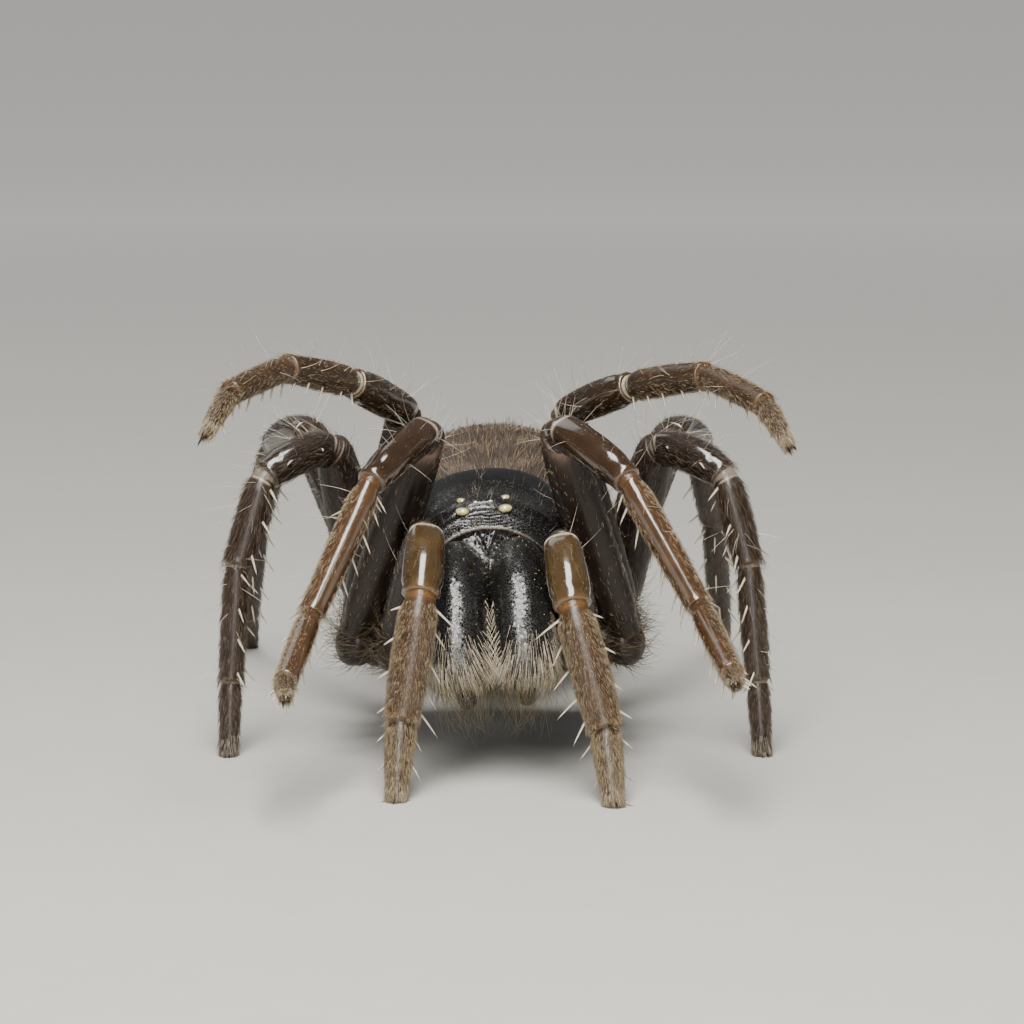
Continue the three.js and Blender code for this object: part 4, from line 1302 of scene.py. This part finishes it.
def cross_rows(piece, surface, sign):
    """Pale hairs along a jaw's inner edge, evenly spaced in height, which cross those of the other jaw."""
    for around, count, low in CROSSING_ROWS:
        samples = np.linspace(low, 0.9, 60)
        heights = surface.at(samples, np.full(60, around))[0][:, 2]
        t = np.interp(np.linspace(heights[0], heights[-1], count), heights[::-1], samples[::-1])
        jitter = RNG.uniform(-0.004, 0.004, count)
        spots = surface.at(t + jitter, around + RNG.uniform(-0.01, 0.01, count))
        lies = comb(spots, (-sign, 0, 0), 0.42)
        lengths = 0.6 * RNG.uniform(0.9, 1.1, count) * (0.6 + 0.4 * smooth(low, low + 0.2, t))
        tones = mix_tones((PALE_HAIR * 1.35, PALE_HAIR), count)
        add_hairs(piece, (*spots[:2], lies), surface.uv(t, spots[4]), lengths, tone=tones, **CROSSING)


def jaw_front(a):
    return smooth(-0.2, 0.35, upness(a))


def bald_front(low, high):
    return lambda t, a: between(low, high, t) * jaw_front(a)


def lower_front(t, a):
    """The low part of a jaw's front, and less of it beyond the jaw's inner part."""
    inner = 0.25 + 0.75 * smooth(-0.14, -0.08, from_top(a))
    return smooth(0.6, 0.84, t) * jaw_front(a) * (t < 0.94) * inner


def outer_side(t, a):
    return smooth(0.5, 0.8, t) * hump(0.2, 0.07, a) * (t < 0.97)


def lower_edge(t, a):
    return hump(0.9, 0.06, t) * (t < 0.96) * smooth(-0.8, 0.0, upness(a))


def jaw_underside(t, a):
    return smooth(0.8, 0.9, t) * (upness(a) < -0.2) * (t < 0.99)


def comb_over(piece, surface, sign, count, density, length, tone, inwards=None, **shape):
    """Hairs over a jaw, each turned inwards by inwards(a)."""
    spots = surface.pick(count, density)
    lies = comb(spots, (-sign, 0, 0), inwards(spots[4]) if inwards else 0.0)
    lengths = length * RNG.uniform(0.8, 1.2, count)
    tones = mix_tones(tone, count)
    add_hairs(piece, (*spots[:2], lies), surface.uv(*spots[3:]), lengths, tone=tones, **shape)


def coat_jaws(surfaces):
    """The jaws' bristles: a bald grainy upper part, rows crossing the middle, and a thick lower fringe."""
    fringe_tones = (GOLD_HAIR * 0.8, GOLD_HAIR * 0.4)
    for side, surface in surfaces.items():
        sign = SIDES[side]
        piece = Piece(f"chelicera_{side}_bristles", [HAIR])
        jaw = (piece, surface, sign)
        comb_over(*jaw, 370, lower_front, 0.55, (PALE_HAIR * 1.3, PINK_HAIR), slanted, **BRISTLE)
        cross_rows(*jaw)
        comb_over(*jaw, 150, outer_side, 0.4, (PALE_HAIR * 0.7, BUFF_HAIR), lambda a: 0.05, **OUTER_BRISTLE)
        for turn in (-0.36, -0.1, 0.14):
            bend = (turn * sign, 0.14, -0.14)
            comb_over(*jaw, 32, lower_edge, 1.25, fringe_tones, bend=bend, **FRINGE)
        comb_over(*jaw, 70, jaw_underside, 0.42, (GOLD_HAIR * 0.5, DARK_HAIR), **BEARD)
        grow_granules(piece, surface, 500, bald_front(0.08, 0.95), BLACK * 2.2, 0.03)
        grow_granules(piece, surface, 70, bald_front(0.1, 0.9), DUST, 0.026)
        piece.build()


def head_edge(t, a):
    """Hair on both edges of the carapace, and a few hairs on its dome."""
    edges = 0.05 + hump(0.25, 0.04, a) + hump(0.75, 0.04, a)
    return between(0.03, 0.98, t) * edges * (upness(a) > -0.1)


def head_crest(t, a):
    """A thin line of hairs along the middle of the dome."""
    return between(0.1, 0.6, t) * hump(0, 0.012, from_top(a))


def coat_body(head, plate, spinnerets):
    """Hair of the carapace, the breastplate and the spinnerets."""
    piece = Piece("body_hair", [HAIR])
    grow(piece, head, 700, head_edge, 0.3, (BUFF_HAIR, DARK_HAIR), **EDGE_FUR)
    grow_granules(piece, head, 1200, cover(0.03, 0.5, above=0.2), BLACK * 2)
    grow(piece, head, 9, head_crest, 0.3, PALE_HAIR * 0.6, **CREST)
    grow(piece, plate, 500, lambda t, a: upness(a) < 0, 0.3, (GOLD_HAIR, DARK_HAIR), **PLATE_FUR)
    for surface in spinnerets:
        grow(piece, surface, 260, cover(0.15, 2), 0.24, (BUFF_HAIR, DARK_HAIR), **SPINNERET_FUR)
    piece.build()


def between_bars(t, a):
    """Dark fur, thin where the pale chevrons are."""
    return between(0.02, 0.995, t) * (1 - 0.8 * chevrons(t, a))


def coat_abdomen(abdomen):
    """Short dark fur with paler chevrons, and longer hairs over it."""
    coat = Piece("abdomen_hair", [HAIR])
    grow(coat, abdomen, 15000, between_bars, 0.36, (BUFF_HAIR * 0.6, DARK_HAIR * 1.3), **ABDOMEN_FUR)
    grow(coat, abdomen, 1500, chevrons, 0.36, (BUFF_HAIR, PINK_HAIR * 0.8), **ABDOMEN_FUR)
    grow(coat, abdomen, 900, cover(0.02, 0.995), 0.62, (BUFF_HAIR, GOLD_HAIR), **LONG_FUR)
    coat.build()


# Stage, light and camera

# The camera: what it faces, how far off and how high it stands, and how wide its view is there
TARGET = (0.53, 0.0, 6.12)
DISTANCE = 110.0
PITCH = math.radians(8)
VIEW = 1024 * 0.024

# The floor, in metres: its half-width, and where its glow begins and is full
FLOOR_HALF = 2.0
GLOW_FROM, GLOW_TO, GLOW = 0.03, 0.17, 0.36


def world_point(point):
    return (np.array(point) + SHIFT) * MM


def build_stage():
    """A plain pale floor. Its far part glows a little, because the lights stand close to the spider."""
    mesh = bpy.data.meshes.new("floor")
    corners = [(x * FLOOR_HALF, y * FLOOR_HALF, 0) for x, y in ((-1, -1), (1, -1), (1, 1), (-1, 1))]
    mesh.from_pydata(corners, [], [(0, 1, 2, 3)])
    paper = Material("floor_paper")
    place = paper.add("TexCoord", {})["Object"]
    away = paper.add("VectorMath", {0: place}, operation="LENGTH")["Value"]
    paper.put({"Base Color": paper.mix(paper.noise(900, 4), (0.5, 0.49, 0.46, 1), (0.54, 0.53, 0.5, 1)),
               "Roughness": 0.85, "Emission Color": (1, 0.98, 0.95, 1),
               "Emission Strength": paper.ramp(away, GLOW_FROM, GLOW_TO, 0, GLOW)})
    mesh.materials.append(paper.result)
    floor = bpy.data.objects.new("floor", mesh)
    bpy.context.scene.collection.objects.link(floor)


def add_light(name, place, aim, size, watts, colour=(1, 1, 1)):
    """A soft panel that faces its aim. size is its width and its height."""
    data = bpy.data.lights.new(name, "AREA")
    data.shape = "RECTANGLE"
    data.size, data.size_y = size
    data.energy = watts
    data.color = colour
    light = bpy.data.objects.new(name, data)
    light.location = world_point(place)
    look_at(light, world_point(aim))
    bpy.context.scene.collection.objects.link(light)


def look_at(thing, point):
    thing.rotation_euler = (Vector(point) - thing.location).to_track_quat("-Z", "Y").to_euler()


def build_lights():
    aim = (0, 1, 4.5)
    add_light("key", (-5, -60, 94), aim, (0.045, 0.145), 0.34, (1, 0.98, 0.93))
    add_light("front", (10, -110, 20), aim, (0.04, 0.04), 0.025, (1, 0.98, 0.95))
    add_light("back", (-50, 70, 90), aim, (0.06, 0.06), 0.014)
    world = bpy.data.worlds.new("studio")
    world.use_nodes = True
    background = world.node_tree.nodes["Background"]
    background.inputs["Color"].default_value = (0.8, 0.82, 0.85, 1)
    background.inputs["Strength"].default_value = 0.17
    bpy.context.scene.world = world


def build_camera():
    data = bpy.data.cameras.new("camera")
    data.lens = data.sensor_width * DISTANCE / VIEW
    data.clip_start = 0.001
    data.clip_end = 10
    camera = bpy.data.objects.new("camera", data)
    offset = np.array((0, -math.cos(PITCH), math.sin(PITCH))) * DISTANCE
    camera.location = world_point(np.array(TARGET) + offset)
    look_at(camera, world_point(TARGET))
    bpy.context.scene.collection.objects.link(camera)
    bpy.context.scene.camera = camera


build_camera()
build_lights()
build_stage()
head = build_head()
build_eyes()
jaws = build_jaws()
plate = build_underside()
abdomen = build_abdomen()
spinnerets = build_spinnerets()
for name in LIMBS:
    for side in SIDES:
        limb = Limb(name, side)
        build_skin(limb)
        coat_limb(limb)
        spine_limb(limb)
coat_jaws(jaws)
coat_body(head, plate, spinnerets)
coat_abdomen(abdomen)
